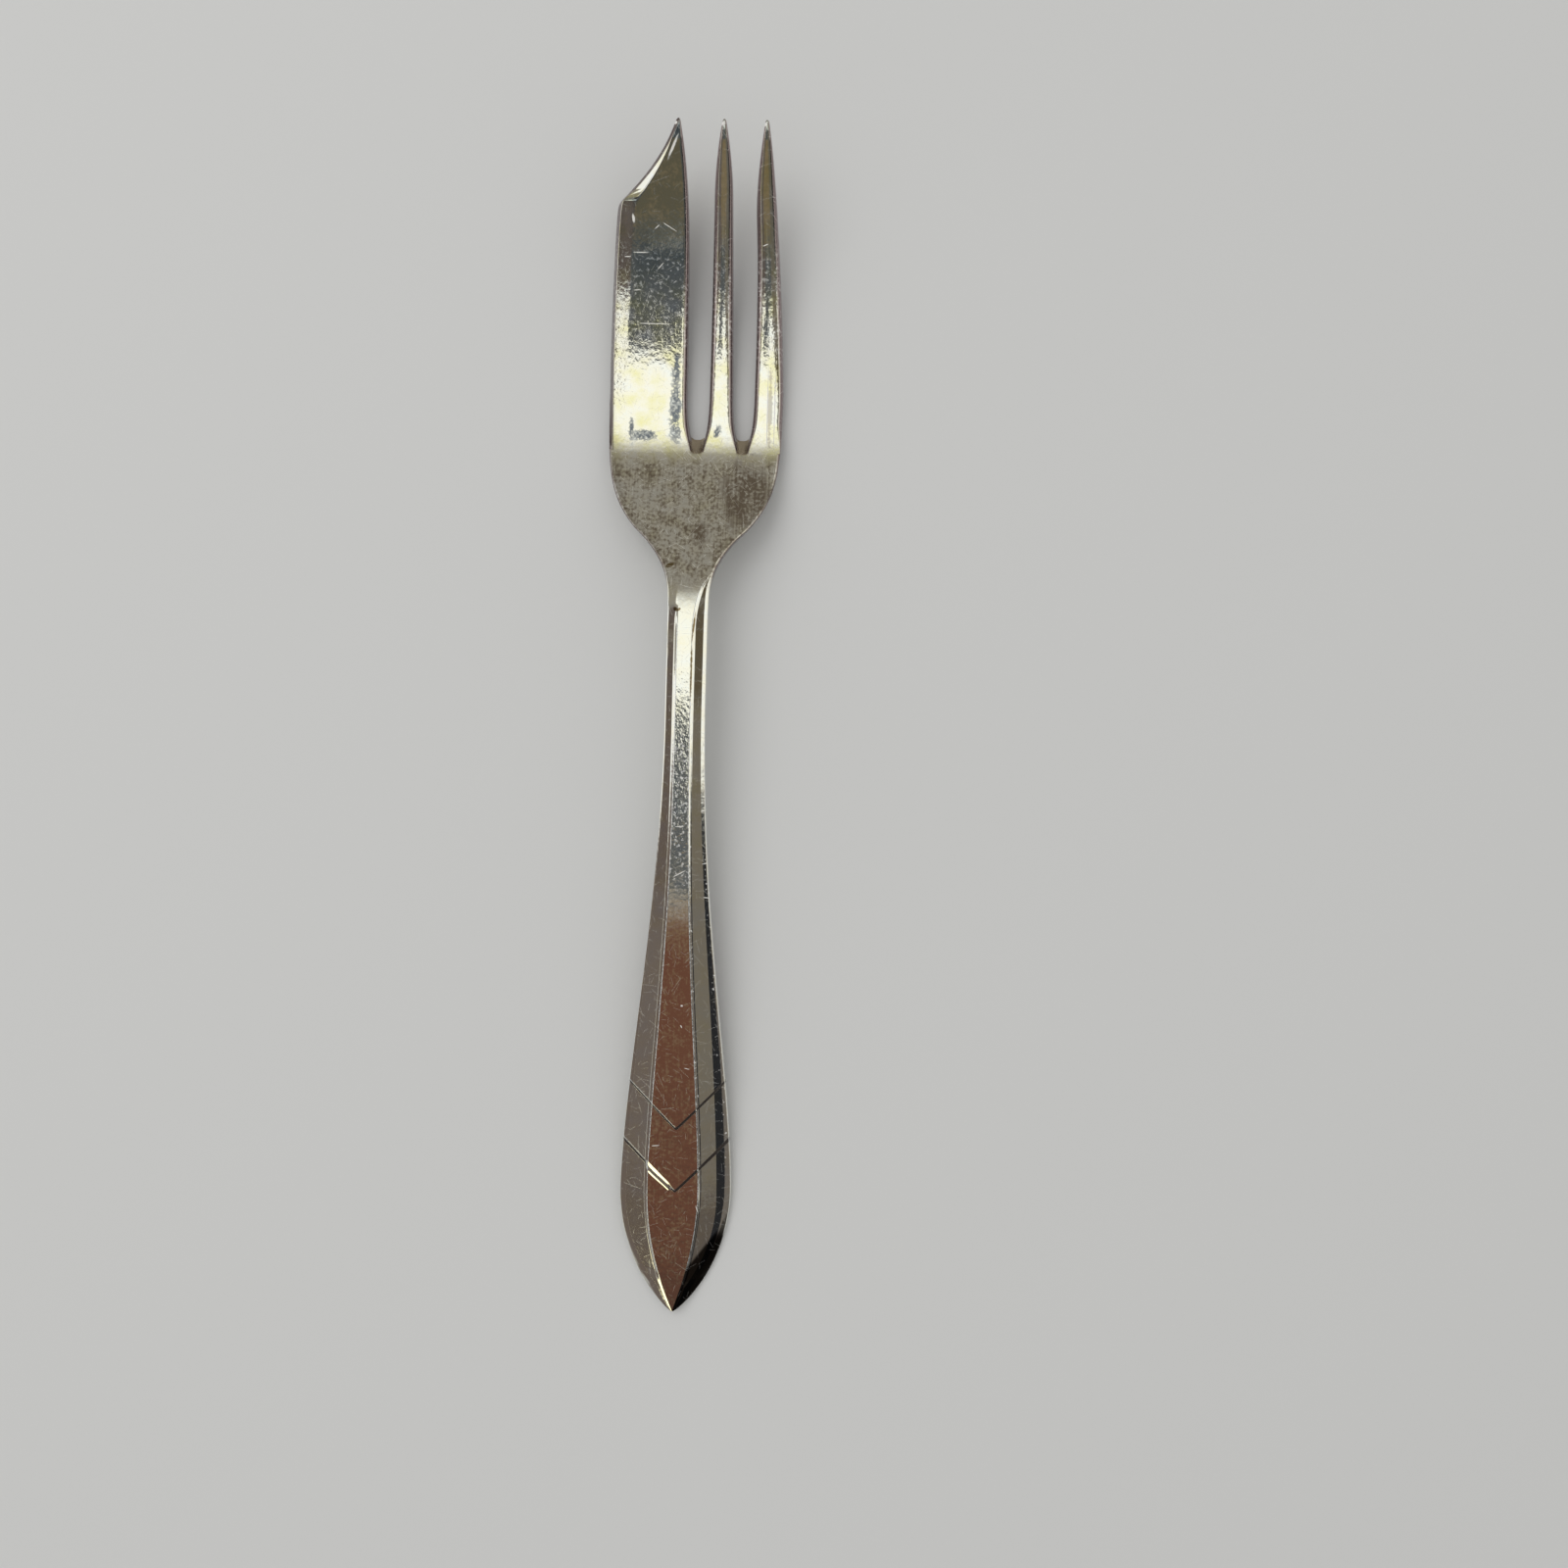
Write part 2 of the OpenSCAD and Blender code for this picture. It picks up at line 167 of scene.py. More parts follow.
def half_w(y):
    """Half width: a power of the taper below the second chevron, then neck plus flare plus shoulders."""
    end = TIP_W / 2 + (HANDLE_W - TIP_W) / 2 * taper(y) ** END_POWER
    shoulders = through(SHOULDERS, (y - shoulder_y) / palm_len)
    rest = NECK_W / 2 + (HANDLE_W - NECK_W) / 2 * flare(y) + (HEAD_W - NECK_W) / 2 * shoulders
    return np.where(y < vee2_y, end, rest)


print("half widths:", [round(float(half_w(y)), 2) for y in stations])

# %% [markdown]
# ## Side view
#
# Lying face up, the fork touches the table under the handle's end and under the heel below the slot roots.
# Between them the handle climbs to the arch of the neck, and beyond the heel the tines sweep up. In polished
# metal the slope of the face decides what is mirrored, so the climb builds up and fades gently.

# %% Underside and face of the fork
ARCH_LIFT = 4.4
TIP_LIFT = 9.4
ARCH_BACK = 10.5
HANDLE_REST = 8.5
HEEL_BACK = 1
HEEL_REST = 4
arch_y = shoulder_y - ARCH_BACK
rest_end_y = tip_y + HANDLE_REST
heel_y = root_y - HEEL_BACK
heel_end_y = heel_y + HEEL_REST
MIDDLE_POINT = 8.6
THICKNESS = [(tip_y, 1.7), (vee2_y, 2.5), (arch_y, 2.9), (heel_y, 2), (top_y - MIDDLE_POINT, 1.5),
             (top_y, 0.7)]
FACE_RUN = 4.4
FACE_REACH = 1.25 * FACE_RUN
FACE_SAMPLES = 9


def climb(u, build=0.27, fade=0.12):
    """A rise from 0 to 1 whose slope builds up over the first share, holds, and fades over the last."""
    full = 2 / (2 - build - fade)
    start = full * u * u / (2 * build)
    end = 1 - full * (1 - u) ** 2 / (2 * fade)
    return np.where(u < build, start, np.where(u < 1 - fade, full * (u - build / 2), end))


def under(y):
    """Underside: level, climbing to the arch, falling late to the heel, level, then up as a square."""
    rise = climb(unit((y - rest_end_y) / (arch_y - rest_end_y)))
    v = unit((y - arch_y) / (heel_y - arch_y))
    sweep = unit((y - heel_end_y) / (top_y - heel_end_y))
    return ARCH_LIFT * rise * (1 - v ** 4 * (5 - 4 * v)) + TIP_LIFT * sweep ** 2


def face(y):
    """Upper face: the underside averaged over a short run, because the face bends less sharply, plus a
    smooth thickness. The weights of the average fade as a squared cosine."""
    runs = np.linspace(-FACE_RUN, FACE_RUN, FACE_SAMPLES)
    weights = np.cos(np.pi / 2 * runs / FACE_REACH) ** 2
    nearby = sum(weight * under(y + run) for run, weight in zip(runs, weights))
    return nearby / weights.sum() + through(THICKNESS, y)


print("face heights:", [round(float(face(y)), 2) for y in stations])

# %% [markdown]
# ## Relief of the handle
#
# Across the handle lie a flat panel, a small step down, a sloping flank and a bevelled edge. The die that
# struck it sat a little to the left, so the right bevel is the wider one. A section is drawn as straight
# stretches with rounded corners: each corner becomes a short curve, because it is on these thin rounded lines
# that real metal catches the light. The same helper later rounds the tines.

# %% Sizes of the relief, and rounded corners
STEP_RUN = 0.3
STEP_DROP = 0.2
FLANK_SLOPE = math.tan(math.radians(7))
BEVEL_SLOPE = math.tan(math.radians(22))
TIP_BEVEL_W = 2.05
END_BEVEL_W = 1.3
NECK_BEVEL_W = 0.45
PALM_ROUND = 0.35
PANEL_W = 6.4
PANEL_NECK_W = 1.85
PANEL_POWER = 1.25
RELIEF_SHIFT = 0.3
FLUTE_LEN = 7
LEFT_FLUTE_LEN = 5
CURVE_SHARE = 0.45
TINY = 1e-9
flute_end_y = shoulder_y - 1.2
left_flute_y = shoulder_y - 3.2


def flutes_out(y):
    """0 along the handle, 1 where the flutes beside the panel have run out."""
    return unit(1 - (flute_end_y - y) / FLUTE_LEN) ** 2


def left_out(y):
    """0 along the handle, 1 where the flute left of the panel has faded into the palm."""
    return ease((y - left_flute_y) / LEFT_FLUTE_LEN)


def bevel_w(y):
    """Width of the bevelled edge: wide at the tip, narrow at the neck, then the palm's rounding."""
    end = np.minimum(END_BEVEL_W + (TIP_BEVEL_W - END_BEVEL_W) * (1 - taper(y)), half_w(y) / 2)
    shaft = NECK_BEVEL_W + (END_BEVEL_W - NECK_BEVEL_W) * flare(y) ** 2
    handle = np.where(y < vee2_y, end, shaft)
    return handle + (PALM_ROUND - handle) * flutes_out(y)


def panel(y, side):
    """Half width of the flat panel, left at side -1. On the right it spreads out where the flute ends."""
    rest = (PANEL_NECK_W + (PANEL_W - PANEL_NECK_W) * flare(y) ** PANEL_POWER) / 2
    spread = (half_w(y) - bevel_w(y) - rest) * flutes_out(y) * (side > 0)
    return np.where(y < vee2_y, PANEL_W / 2 * taper(y), rest + spread)


def relief_shift(y):
    """How far the relief sits to the left."""
    return RELIEF_SHIFT * taper(y) * (1 - flutes_out(y))


def rounded(corners, before, after, marks, bends, spans):
    """Path along corners, each an x and a z over all rows, whose inner ones are rounded: each becomes a
    quadratic curve from a length before it to a length after it, kept to a share of a stretch between two
    curves. Each straight stretch gets a span of extra points. A stretch of no length keeps its corner.
    Returns the points, rows by columns by 2, and a mark for each, strongest in mid-curve."""
    corners = np.stack(corners, axis=1).transpose(2, 1, 0)
    heading = np.diff(corners, axis=1)
    stretch = np.linalg.norm(heading, axis=2)
    limit = CURVE_SHARE * stretch
    limit[:, [0, -1]] *= 2
    heading = heading / np.maximum(stretch, TINY)[..., None]
    inner = corners[:, 1:-1]
    start = inner - heading[:, :-1] * np.minimum(before, limit[:, :-1])[..., None]
    end = inner + heading[:, 1:] * np.minimum(after, limit[:, 1:])[..., None]
    u = np.linspace(0, 1, bends)[:, None]
    curves = (1 - u) ** 2 * start[:, :, None] + 2 * u * (1 - u) * inner[:, :, None]
    curves = curves + u * u * end[:, :, None]
    humps = 4 * (u * (1 - u))[:, 0] * np.asarray(marks)[..., None]
    leaving = np.concatenate([corners[:, :1], end], axis=1)
    coming = np.concatenate([start, corners[:, -1:]], axis=1)
    points = []
    shades = []
    for j, span in enumerate(spans):
        first, final = j == 0, j == len(spans) - 1
        s = np.linspace(0, 1, span + 2 - first - final)[1 - first:span + 1 - first][:, None]
        points.append(leaving[:, j, None] * (1 - s) + coming[:, j, None] * s)
        shades.append(np.zeros((len(corners), span)))
        if not final:
            points.append(curves[:, j])
            shades.append(np.broadcast_to(humps[..., j, :], (len(corners), bends)))
    return np.concatenate(points, axis=1), np.concatenate(shades, axis=1)


print("panel half widths:", [round(float(panel(y, -1)), 2) for y in stations])

# %% [markdown]
# ## Sections of the body
#
# Palm, neck and handle are one continuous skin, so they are one grid: rows run along the fork and columns run
# round each section, over the face from left to right and back under it. Below the neck the rows bend into a
# V, so that a row lies exactly along each chevron. Rows and columns could be subdivided evenly, but placing
# them on the creases keeps every line of the relief crisp with few faces.

# %% One side of a section
CHEVRON_SLOPE = math.tan(math.radians(45.5))
VEE_POWER = 1.6
SETTLE_ROUNDS = 14
ROOT_RUN = 2.2
CURL_RUN = 1.2
CURL_RISE = 0.3
CURL_SHARE = 0.4
EDGE_TURN = 0.25
SHIFT_SHARE = {-1: (1, 0.6), 1: (0.2, 1.4)}
FILLETS = {-1: (0.08, 0.12, 0.005, 0.3, 0.2), 1: (0.08, 0.12, 0.04, 0.3, 0.2)}
STEP_SHARE = 0.35
LEAST_ROOM = 0.2
LEAST_SHARE = 0.4
BEVEL_BREAK = 0.38
WALL_SHARE = 0.4
LEFT_STEP_LEN = 4.5
SOFT_TIP_LEN = 1.2
SOFT_TIP_RUN = 0.1
SOFT_TIP_FILLET = 0.06
SIDE_COLUMNS = 32
TURN_COLUMNS = 7
left_step_y = shoulder_y - 8.5
soft_tip_y = tip_y + 4.6


def vee(w):
    """How far a row runs forward per step across: none at the neck, full at the chevrons, none at the tip."""
    above = CHEVRON_SLOPE * unit((neck_y - w) / (neck_y - vee1_y)) ** VEE_POWER
    below = CHEVRON_SLOPE * unit((w - tip_y) / end_len)
    return np.where(w > vee1_y, above, np.where(w > vee2_y, CHEVRON_SLOPE, below))


def settle(width, w):
    """Where a bent row meets an outline: the x that equals the width at w plus slope times x."""
    x = np.zeros_like(w)
    for _ in range(SETTLE_ROUNDS):
        x = width(w + vee(w) * x)
    return x


def lean(w):
    """How far the underside of a row lies ahead of its face, up to the sloping slot root."""
    return ROOT_RUN * unit((w - shoulder_y) / palm_len) ** 2


def row_edge(w):
    """Where a bent row meets the outline: the x and the y there, and the thickness below the tiers."""
    edge = settle(half_w, w)
    y = w + vee(w) * edge
    return edge, y, face(y) - under(y + lean(w)) - chevron_depth(w, edge)


def upper_side(w, side):
    """Face from the panel's end out to the wall, left at side -1: distances, depths and crest marks. The step
    beside the panel is softer at the tip, and on the left it fades out before the palm."""
    edge, y, thick = row_edge(w)
    moved = side * relief_shift(y)
    share, more = SHIFT_SHARE[side]
    bevel = bevel_w(y) + moved * (share + more * flare(y))
    room = np.maximum(0, edge - bevel - settle(lambda v: panel(v, side), w) + moved)
    soft = ease((soft_tip_y - w) / SOFT_TIP_LEN) * (side < 0)
    run = STEP_RUN + SOFT_TIP_RUN * soft
    step = np.minimum(run, STEP_SHARE * room)
    kept = 1 - left_out(y) * (side < 0)
    stepped = 1 - ease((y - left_step_y) / LEFT_STEP_LEN) * (side < 0)
    foot = stepped * STEP_DROP * step / run * (1 - soft / 2)
    flank = foot + kept * (room - step) * FLANK_SLOPE
    low = flank + bevel * BEVEL_SLOPE
    wall = low + WALL_SHARE * (thick - CURL_RISE - low)
    wide = np.maximum(room, np.minimum(LEAST_ROOM, LEAST_SHARE * (edge - bevel)))
    start = edge - bevel - wide
    zero = np.zeros_like(w)
    corners = [[zero, zero], [start, zero], [start + np.minimum(run, STEP_SHARE * wide), foot],
               [edge - bevel, flank], [edge - bevel / 2, flank + BEVEL_BREAK * (low - flank)],
               [edge, low], [edge, wall]]
    marks = np.stack([foot / STEP_DROP, zero, zero, zero, zero + 0.5], axis=1)
    fillets = np.tile(FILLETS[side], (len(w), 1))
    fillets[:, 0] += SOFT_TIP_FILLET * soft
    points, crest = rounded(corners, fillets, fillets, marks, 5, [0, 0, 6, 0, 0, 1])
    return points[..., 0], points[..., 1], crest


def curl(x, edge):
    """How far the underside curls up at x: as a square over a short run before the edge."""
    run = np.minimum(CURL_RUN, CURL_SHARE * edge)
    return CURL_RISE * unit((x - edge + run) / run) ** 2


def lower_side(w, start):
    """Underside from below the panel's end out to the wall: distances and heights, curling up near the edge,
    then round a quarter turn into the wall."""
    edge, _, thick = [v[:, None] for v in row_edge(w)]
    start = start[:, None]
    turn = np.minimum(EDGE_TURN, 0.2 * edge)
    s = np.linspace(0, 1, SIDE_COLUMNS - TURN_COLUMNS + 1)[1:]
    flat_x = start + (edge - turn - start) * s
    flat_z = curl(flat_x, edge)
    u = np.linspace(0, 1, TURN_COLUMNS + 1)[1:]
    top = CURL_RISE + 0.15 * (thick - CURL_RISE)
    round_x = (1 - u) ** 2 * flat_x[:, -1:] + (1 - (1 - u) ** 2) * edge
    round_z = (1 - u) ** 2 * flat_z[:, -1:] + 2 * u * (1 - u) * CURL_RISE + u * u * top
    return np.concatenate([flat_x, round_x], axis=1), np.concatenate([flat_z, round_z], axis=1)


print("row slopes:", [round(float(vee(y)), 2) for y in stations])

# %% [markdown]
# ## Chevrons
#
# Each chevron is the low riser of a tier: the shaft stands highest, the band below it is one step down, and
# the handle's end is two. On the worn fork the risers are soft, and on the left arm of the second chevron the
# edge is rubbed down so far that it shines.

# %% Depth of the chevron tiers
CHEVRON_DROP = 0.22
RISER_RUN = 0.42
APEX_ROUND = 0.12
RUBBED = [(0, 0), (0.04, 0.014), (0.33, 0.21), (0.4, 0.28), (0.83, 0.885), (0.9, 0.945), (0.98, 0.998),
          (1, 1)]
RUB_OUTER_X = -3.9
RUB_INNER_X = -0.3
RUB_SOFT = 0.6
RUB_EARLY = 0.25
RUB_LONGER = 0.73
RUB_WIDENS = 0.22


def rub(x):
    """How far the second chevron is rubbed down: 1 on the inner part of its left arm, else 0."""
    return ease((RUB_INNER_X - x) / RUB_SOFT) * ease((x - RUB_OUTER_X) / RUB_SOFT)


def descents(w, x):
    """How far each chevron's riser has come down, from 0 above it to 1 below it. A rubbed riser starts
    earlier and runs longer, most of all at its outer end."""
    worn = rub(x)
    longer = worn * (RUB_LONGER + RUB_WIDENS * ease((-x - 0.5) / 2.6))
    first = unit((vee1_y - w) / RISER_RUN + 0 * x)
    second = unit((vee2_y + RUB_EARLY * worn - w) / (RISER_RUN + longer))
    return first, second


def chevron_depth(w, x):
    """Depth of both tiers below the shaft's face, each with a soft riser. A rubbed riser has a gentle slope,
    a steeper one and a gentle one again, so it shines in two bands."""
    first, second = descents(w, x)
    fallen = ease(second) + rub(x) * (through(RUBBED, second) - ease(second))
    return CHEVRON_DROP * (ease(first) + fallen)


print("tier depths:", [round(float(chevron_depth(w, HANDLE_W / 4)), 2) for w in (neck_y, vee2_y, tip_y)])

# %% [markdown]
# ## The body's grid
#
# The face's middle columns are shared out so that some of them land on the corners of the two slot roots at
# the front of the palm. There the wall between the tines is scooped a little, and its upper edge rounded.

# %% Slot roots, and the grid of the body
SLOT_W = 2.75
MIDDLE_W = 2.95
OUTER_W = 3.65
ROOT_FLAT = 1.4
ROOT_LEN = 9.5
ROOT_SCOOP = 0.25
ROOT_EDGE = 0.15
SCOOP_FADE = 2
RIM_SHADE_REACH = 0.5
RIM_FADE = 4
RISER_LIGHT = 6
TIP_ROWS = 70
HANDLE_STEP = 0.4
RISER_STEP = 0.05
RISER_BELOW = 1.25
RISER_ABOVE = 0.3
NECK_STEP = 0.35
PALM_STEP = 0.3
FACE_COLUMNS = 30
LEAST_COLUMNS = 6
root_share = math.sqrt(1 - (ROOT_FLAT / SLOT_W) ** 2)
slot_right = HEAD_W / 2 - OUTER_W - SLOT_W / 2
slot_left = slot_right - SLOT_W - MIDDLE_W
slot_mid = np.array([slot_left, slot_right])


def root_scoop(x):
    """Depth of the scoop between two tines: one less the fourth power of the place across the slot root."""
    across = (x[..., None] - slot_mid) / (ROOT_FLAT / 2)
    return ROOT_SCOOP * np.maximum(0, 1 - across ** 4).sum(-1)


def body_rings(w, share):
    """Rows of the body as points in millimetres, rows by columns by 3, and for each point its crest mark and
    how much painted shade the palm's rim gets there. On the chevron risers the crest mark is painted light: a
    left arm gets a painted highlight on top and painted shade below, a right arm painted shade all along, and
    the rubbed part of the second chevron gets neither."""
    lx, lz, lc = upper_side(w, -1)
    rx, rz, rc = upper_side(w, 1)
    mid = -lx[:, :1] + (lx[:, :1] + rx[:, :1]) * (share + 1) / 2
    flat = np.zeros_like(mid)
    top_x = np.concatenate([-lx[:, ::-1], mid, rx], axis=1)
    depth = np.concatenate([lz[:, ::-1], flat, rz], axis=1)
    crest = np.concatenate([lc[:, ::-1], flat, rc], axis=1)
    ulx, ulz = lower_side(w, lx[:, 0])
    urx, urz = lower_side(w, rx[:, 0])
    edge = settle(half_w, w)[:, None]
    low_x = np.concatenate([-ulx[:, ::-1], mid, urx], axis=1)
    height = np.concatenate([ulz[:, ::-1], curl(np.abs(mid), edge), urz], axis=1)
    row = w[:, None]
    slope = vee(row)
    ahead = lean(row)
    near_root = unit((row - root_y) / SCOOP_FADE + 1) ** 2
    edge_turn = 1 - np.sqrt(1 - unit((row - root_y) / ROOT_EDGE + 1) ** 2)

    def place(x, upper, offset):
        y = row + slope * np.sqrt(x ** 2 + APEX_ROUND ** 2)
        top = face(y) - chevron_depth(row, x)
        low = under(y + ahead)
        scoop = root_scoop(x)
        turned = ROOT_EDGE * edge_turn * (scoop > 0)
        z = top - offset - turned if upper else low + offset
        return np.stack([x, y + ahead * (top - z) / (top - low) - scoop * near_root, z], axis=-1)

    upper = place(top_x, True, depth)
    lower = place(low_x, False, height)
    first, second = descents(row, top_x)
    # Risers: a painted highlight atop the left arms, painted shade below it and along the right arms.
    light = np.where(top_x < 0, 1, -1)
    riser_light_and_shade = sum(np.clip(light - RISER_LIGHT * u, -1, 1) * (u > 0) * (u < 1) for u in (first, second))
    riser_light_and_shade = np.where(second > 0, riser_light_and_shade * (1 - rub(top_x)), riser_light_and_shade)
    # Painted shade along the rim of the palm: a dark coat near the outline.
    rim_shade = ease((np.abs(top_x) - edge) / RIM_SHADE_REACH + 1) * ease((row - shoulder_y) / RIM_FADE + 1)
    none = np.zeros_like(low_x)
    marks = np.concatenate([np.clip(crest + riser_light_and_shade, -1, 1), none], axis=1)
    return np.concatenate([upper, lower[:, ::-1]], axis=1), marks, np.concatenate([rim_shade, none], axis=1)


def rows(start, end, spacing):
    """Even places from start to end, about one spacing apart, with both ends."""
    return np.linspace(start, end, int(round((end - start) / spacing)) + 1)


tip_rows = tip_y + end_len * np.linspace(0, 1, TIP_ROWS) ** 2
riser_rows = [rows(v - RISER_BELOW, v + RISER_ABOVE, RISER_STEP) for v in (vee1_y, vee2_y)]
front_rows = root_y - ROOT_EDGE * (1 - np.sin(np.linspace(0, np.pi / 2, 7)))
body_w = np.unique(np.round(np.concatenate([
    tip_rows, *riser_rows, rows(vee2_y, vee1_y, HANDLE_STEP), rows(vee1_y, neck_y, HANDLE_STEP),
    rows(neck_y, shoulder_y, NECK_STEP), rows(shoulder_y, root_y, PALM_STEP), front_rows]), 3))
front_x = upper_side(np.array([root_y]), 1)[0][0, 0]
slot_corners = (slot_mid[:, None] + np.array([-0.5, 0.5]) * ROOT_FLAT).ravel() / front_x
stops = np.concatenate([[-1], slot_corners, [1]])
shares = np.concatenate([
    np.linspace(a, b, max(LEAST_COLUMNS, int(FACE_COLUMNS * (b - a))), endpoint=False)
    for a, b in zip(stops[:-1], stops[1:])])[1:]
body, body_crest, body_rim_shade = body_rings(body_w, shares)
print("body grid:", body.shape[:2], "rows and columns")

# %% [markdown]
# ## From rings to closed meshes
#
# A region of the fork is a slice of rows. Faces join each ring to the next, and strips between the upper and
# the lower half of the first and last ring close the ends, so every region is a solid of its own. The normals
# come from the whole grid, not from the slice, so no seam shows in the mirror where two regions meet.

# %% Build the regions of the body


def skin_normals(rings):
    """Normals of a tube of rings: step across the ring, which closes on itself, times step along the rows."""
    across = np.roll(rings, -1, axis=1) - np.roll(rings, 1, axis=1)
    normals = np.cross(across, np.gradient(rings, axis=0))
    return normals / np.maximum(np.linalg.norm(normals, axis=2, keepdims=True), TINY)


def solid(name, rings, normals, crest, tarnish_and_painted_light):
    """A closed, smooth object through rings, which rides on the fork and replaces the node of its name.
    The crest marks and the painted shade along the rims become attributes, which the finish reads."""
    count, m = rings.shape[:2]
    grid = np.arange(count * m).reshape(count, m)
    beside = np.roll(grid, -1, axis=1)
    sides = np.stack([grid[:-1], beside[:-1], beside[1:], grid[1:]], axis=-1).reshape(-1, 4)
    i = np.arange(m // 2 - 1)
    strip = np.stack([i, m - 1 - i, m - 2 - i, i + 1], axis=-1)
    faces = np.concatenate([sides, grid[0][strip], grid[-1][strip[:, ::-1]]])
    points = rings.reshape(-1, 3)
    caps = points[faces[len(sides):]]
    flat = np.cross(caps[:, 2] - caps[:, 0], caps[:, 3] - caps[:, 1])
    flat /= np.maximum(np.linalg.norm(flat, axis=1, keepdims=True), TINY)
    corner_normals = np.concatenate([normals.reshape(-1, 3)[sides], np.repeat(flat[:, None], 4, axis=1)])
    mesh = bpy.data.meshes.new(name)
    mesh.from_pydata(points * MM, [], faces.tolist())
    mesh.polygons.foreach_set("use_smooth", np.ones(len(faces), bool))
    mesh.normals_split_custom_set(corner_normals.reshape(-1, 3).tolist())
    for key, values in (("crest", crest), ("tarnish_and_painted_light", tarnish_and_painted_light)):
        attribute = mesh.attributes.new(key, "FLOAT", "POINT")
        attribute.data.foreach_set("value", values.ravel().astype(np.float32))
    piece = bpy.data.objects.new(name + "_skin", mesh)
    bpy.context.scene.collection.objects.link(piece)
    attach(piece, "root")
    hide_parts(name)
    print(name, "faces:", len(faces))
    return piece


def row_at(w):
    """Index of the body's row nearest to a station."""
    return int(np.argmin(np.abs(body_w - w)))


body_normals = skin_normals(body)
REGIONS = {"handle_end": (tip_y, vee2_y), "chevron_band": (vee2_y, vee1_y),
           "handle_shaft": (vee1_y, neck_y), "neck": (neck_y, shoulder_y), "palm": (shoulder_y, root_y)}
pieces = []
for region, (start, end) in REGIONS.items():
    part = slice(row_at(start), row_at(end) + 1)
    pieces.append(solid(region, body[part], body_normals[part], body_crest[part], body_rim_shade[part]))

# %% [markdown]
# ## The narrow tines
#
# The middle and the outer tine are filed round along their sides and drawn out to points. Each is a stack of
# rings from the slot root to the tip. Near the root the slot's oval end widens the tine and its edges are
# sharper, and the last rings shrink to a small dome, because a real point is never quite sharp.

# %% Build the middle and the outer tine
MIDDLE_END_W = 2.3
MIDDLE_LEAN = 0.15
OUTER_END_W = 2.65
OUTER_POINT = 11.8
OUTER_LEAN = 0.95
OUTER_BOW = [(0, 0), (0.2, 0.01), (0.59, 0.42), (0.79, 0.89), (1, 1)]
POINT_POWER = 1.85
ROOT_FADE = 8
ROUND_RUN = 4
TINE_ROUND = 0.6
ROUND_SHARE = 0.22
FALL_SHARE = 0.55
TINE_TIP_W = 0.4
TIP_DOME = 0.35
CROWN = 0.1
CROWN_RUN = 22
TINE_STEP = 0.2
root_end = ROOT_LEN * root_share
root_turn = np.linspace(0, np.pi / 2, 24)
dome_turn = np.linspace(0, 1.5, 9)
tine_t = np.unique(np.round(np.concatenate([
    root_end * (1 - np.cos(root_turn)), rows(root_end, tine_len - TIP_DOME, TINE_STEP),
    tine_len - TIP_DOME * (1 - np.sin(dome_turn))]), 4))


def root_inset(t):
    """How far the long half oval that ends a slot narrows it on each side."""
    left_over = np.maximum(0, root_share - t / ROOT_LEN)
    return SLOT_W / 2 * (1 - np.sqrt(1 - left_over ** 2))


def tine_half(t, root_w, end_w, point):
    """Half width of a narrow tine: a steady taper, then a point that rounds off as a power."""
    start = tine_len - point
    straight = root_w + (end_w - root_w) * unit((t - ROOT_FADE) / (start - ROOT_FADE))
    return TINE_TIP_W / 2 + (straight - TINE_TIP_W) / 2 * (1 - unit((t - start) / point) ** POINT_POWER)


def side_round(t, width):
    """How far the rounding of a tine's side reaches across its face."""
    return ROOT_EDGE + (np.minimum(TINE_ROUND, ROUND_SHARE * width) - ROOT_EDGE) * ease(t / ROUND_RUN)


def side_fall(t, thick):
    """How far the rounding of a tine's side reaches down it."""
    return ROOT_EDGE + (FALL_SHARE * thick - ROOT_EDGE) * ease(t / ROUND_RUN)


def root_lean(t):
    """How far the underside of a tine's ring lies ahead of its face, as on the slot root."""
    return ROOT_RUN * (1 - unit(t / ROOT_FADE)) ** 2


def tine_thick(t):
    """Height of a tine's section between the leaning underside and the face."""
    return face(root_y + t) - under(root_y + t + root_lean(t))


def tine_rings(t, upper, lower):
    """Rings of a tine from the x and z of its upper and lower columns: lifted onto the underside, leaning
    like the slot root, and shrunk to a dome at the tip."""
    y = (root_y + t)[:, None]
    ahead = root_lean(t)[:, None]
    top = face(y)
    low = under(y + ahead)
    ring = np.concatenate([upper, lower[:, ::-1]], axis=1)
    x, z = ring[..., 0], ring[..., 1]
    shrink = np.sqrt(1 - unit(t / TIP_DOME - tine_len / TIP_DOME + 1) ** 2)[:, None]
    middle = (x.min(1, keepdims=True) + x.max(1, keepdims=True)) / 2
    x = middle + (x - middle) * shrink
    z = (top - low) / 2 + (z - (top - low) / 2) * shrink + low
    return np.stack([x, y + ahead * (top - z) / (top - low), z], axis=-1)


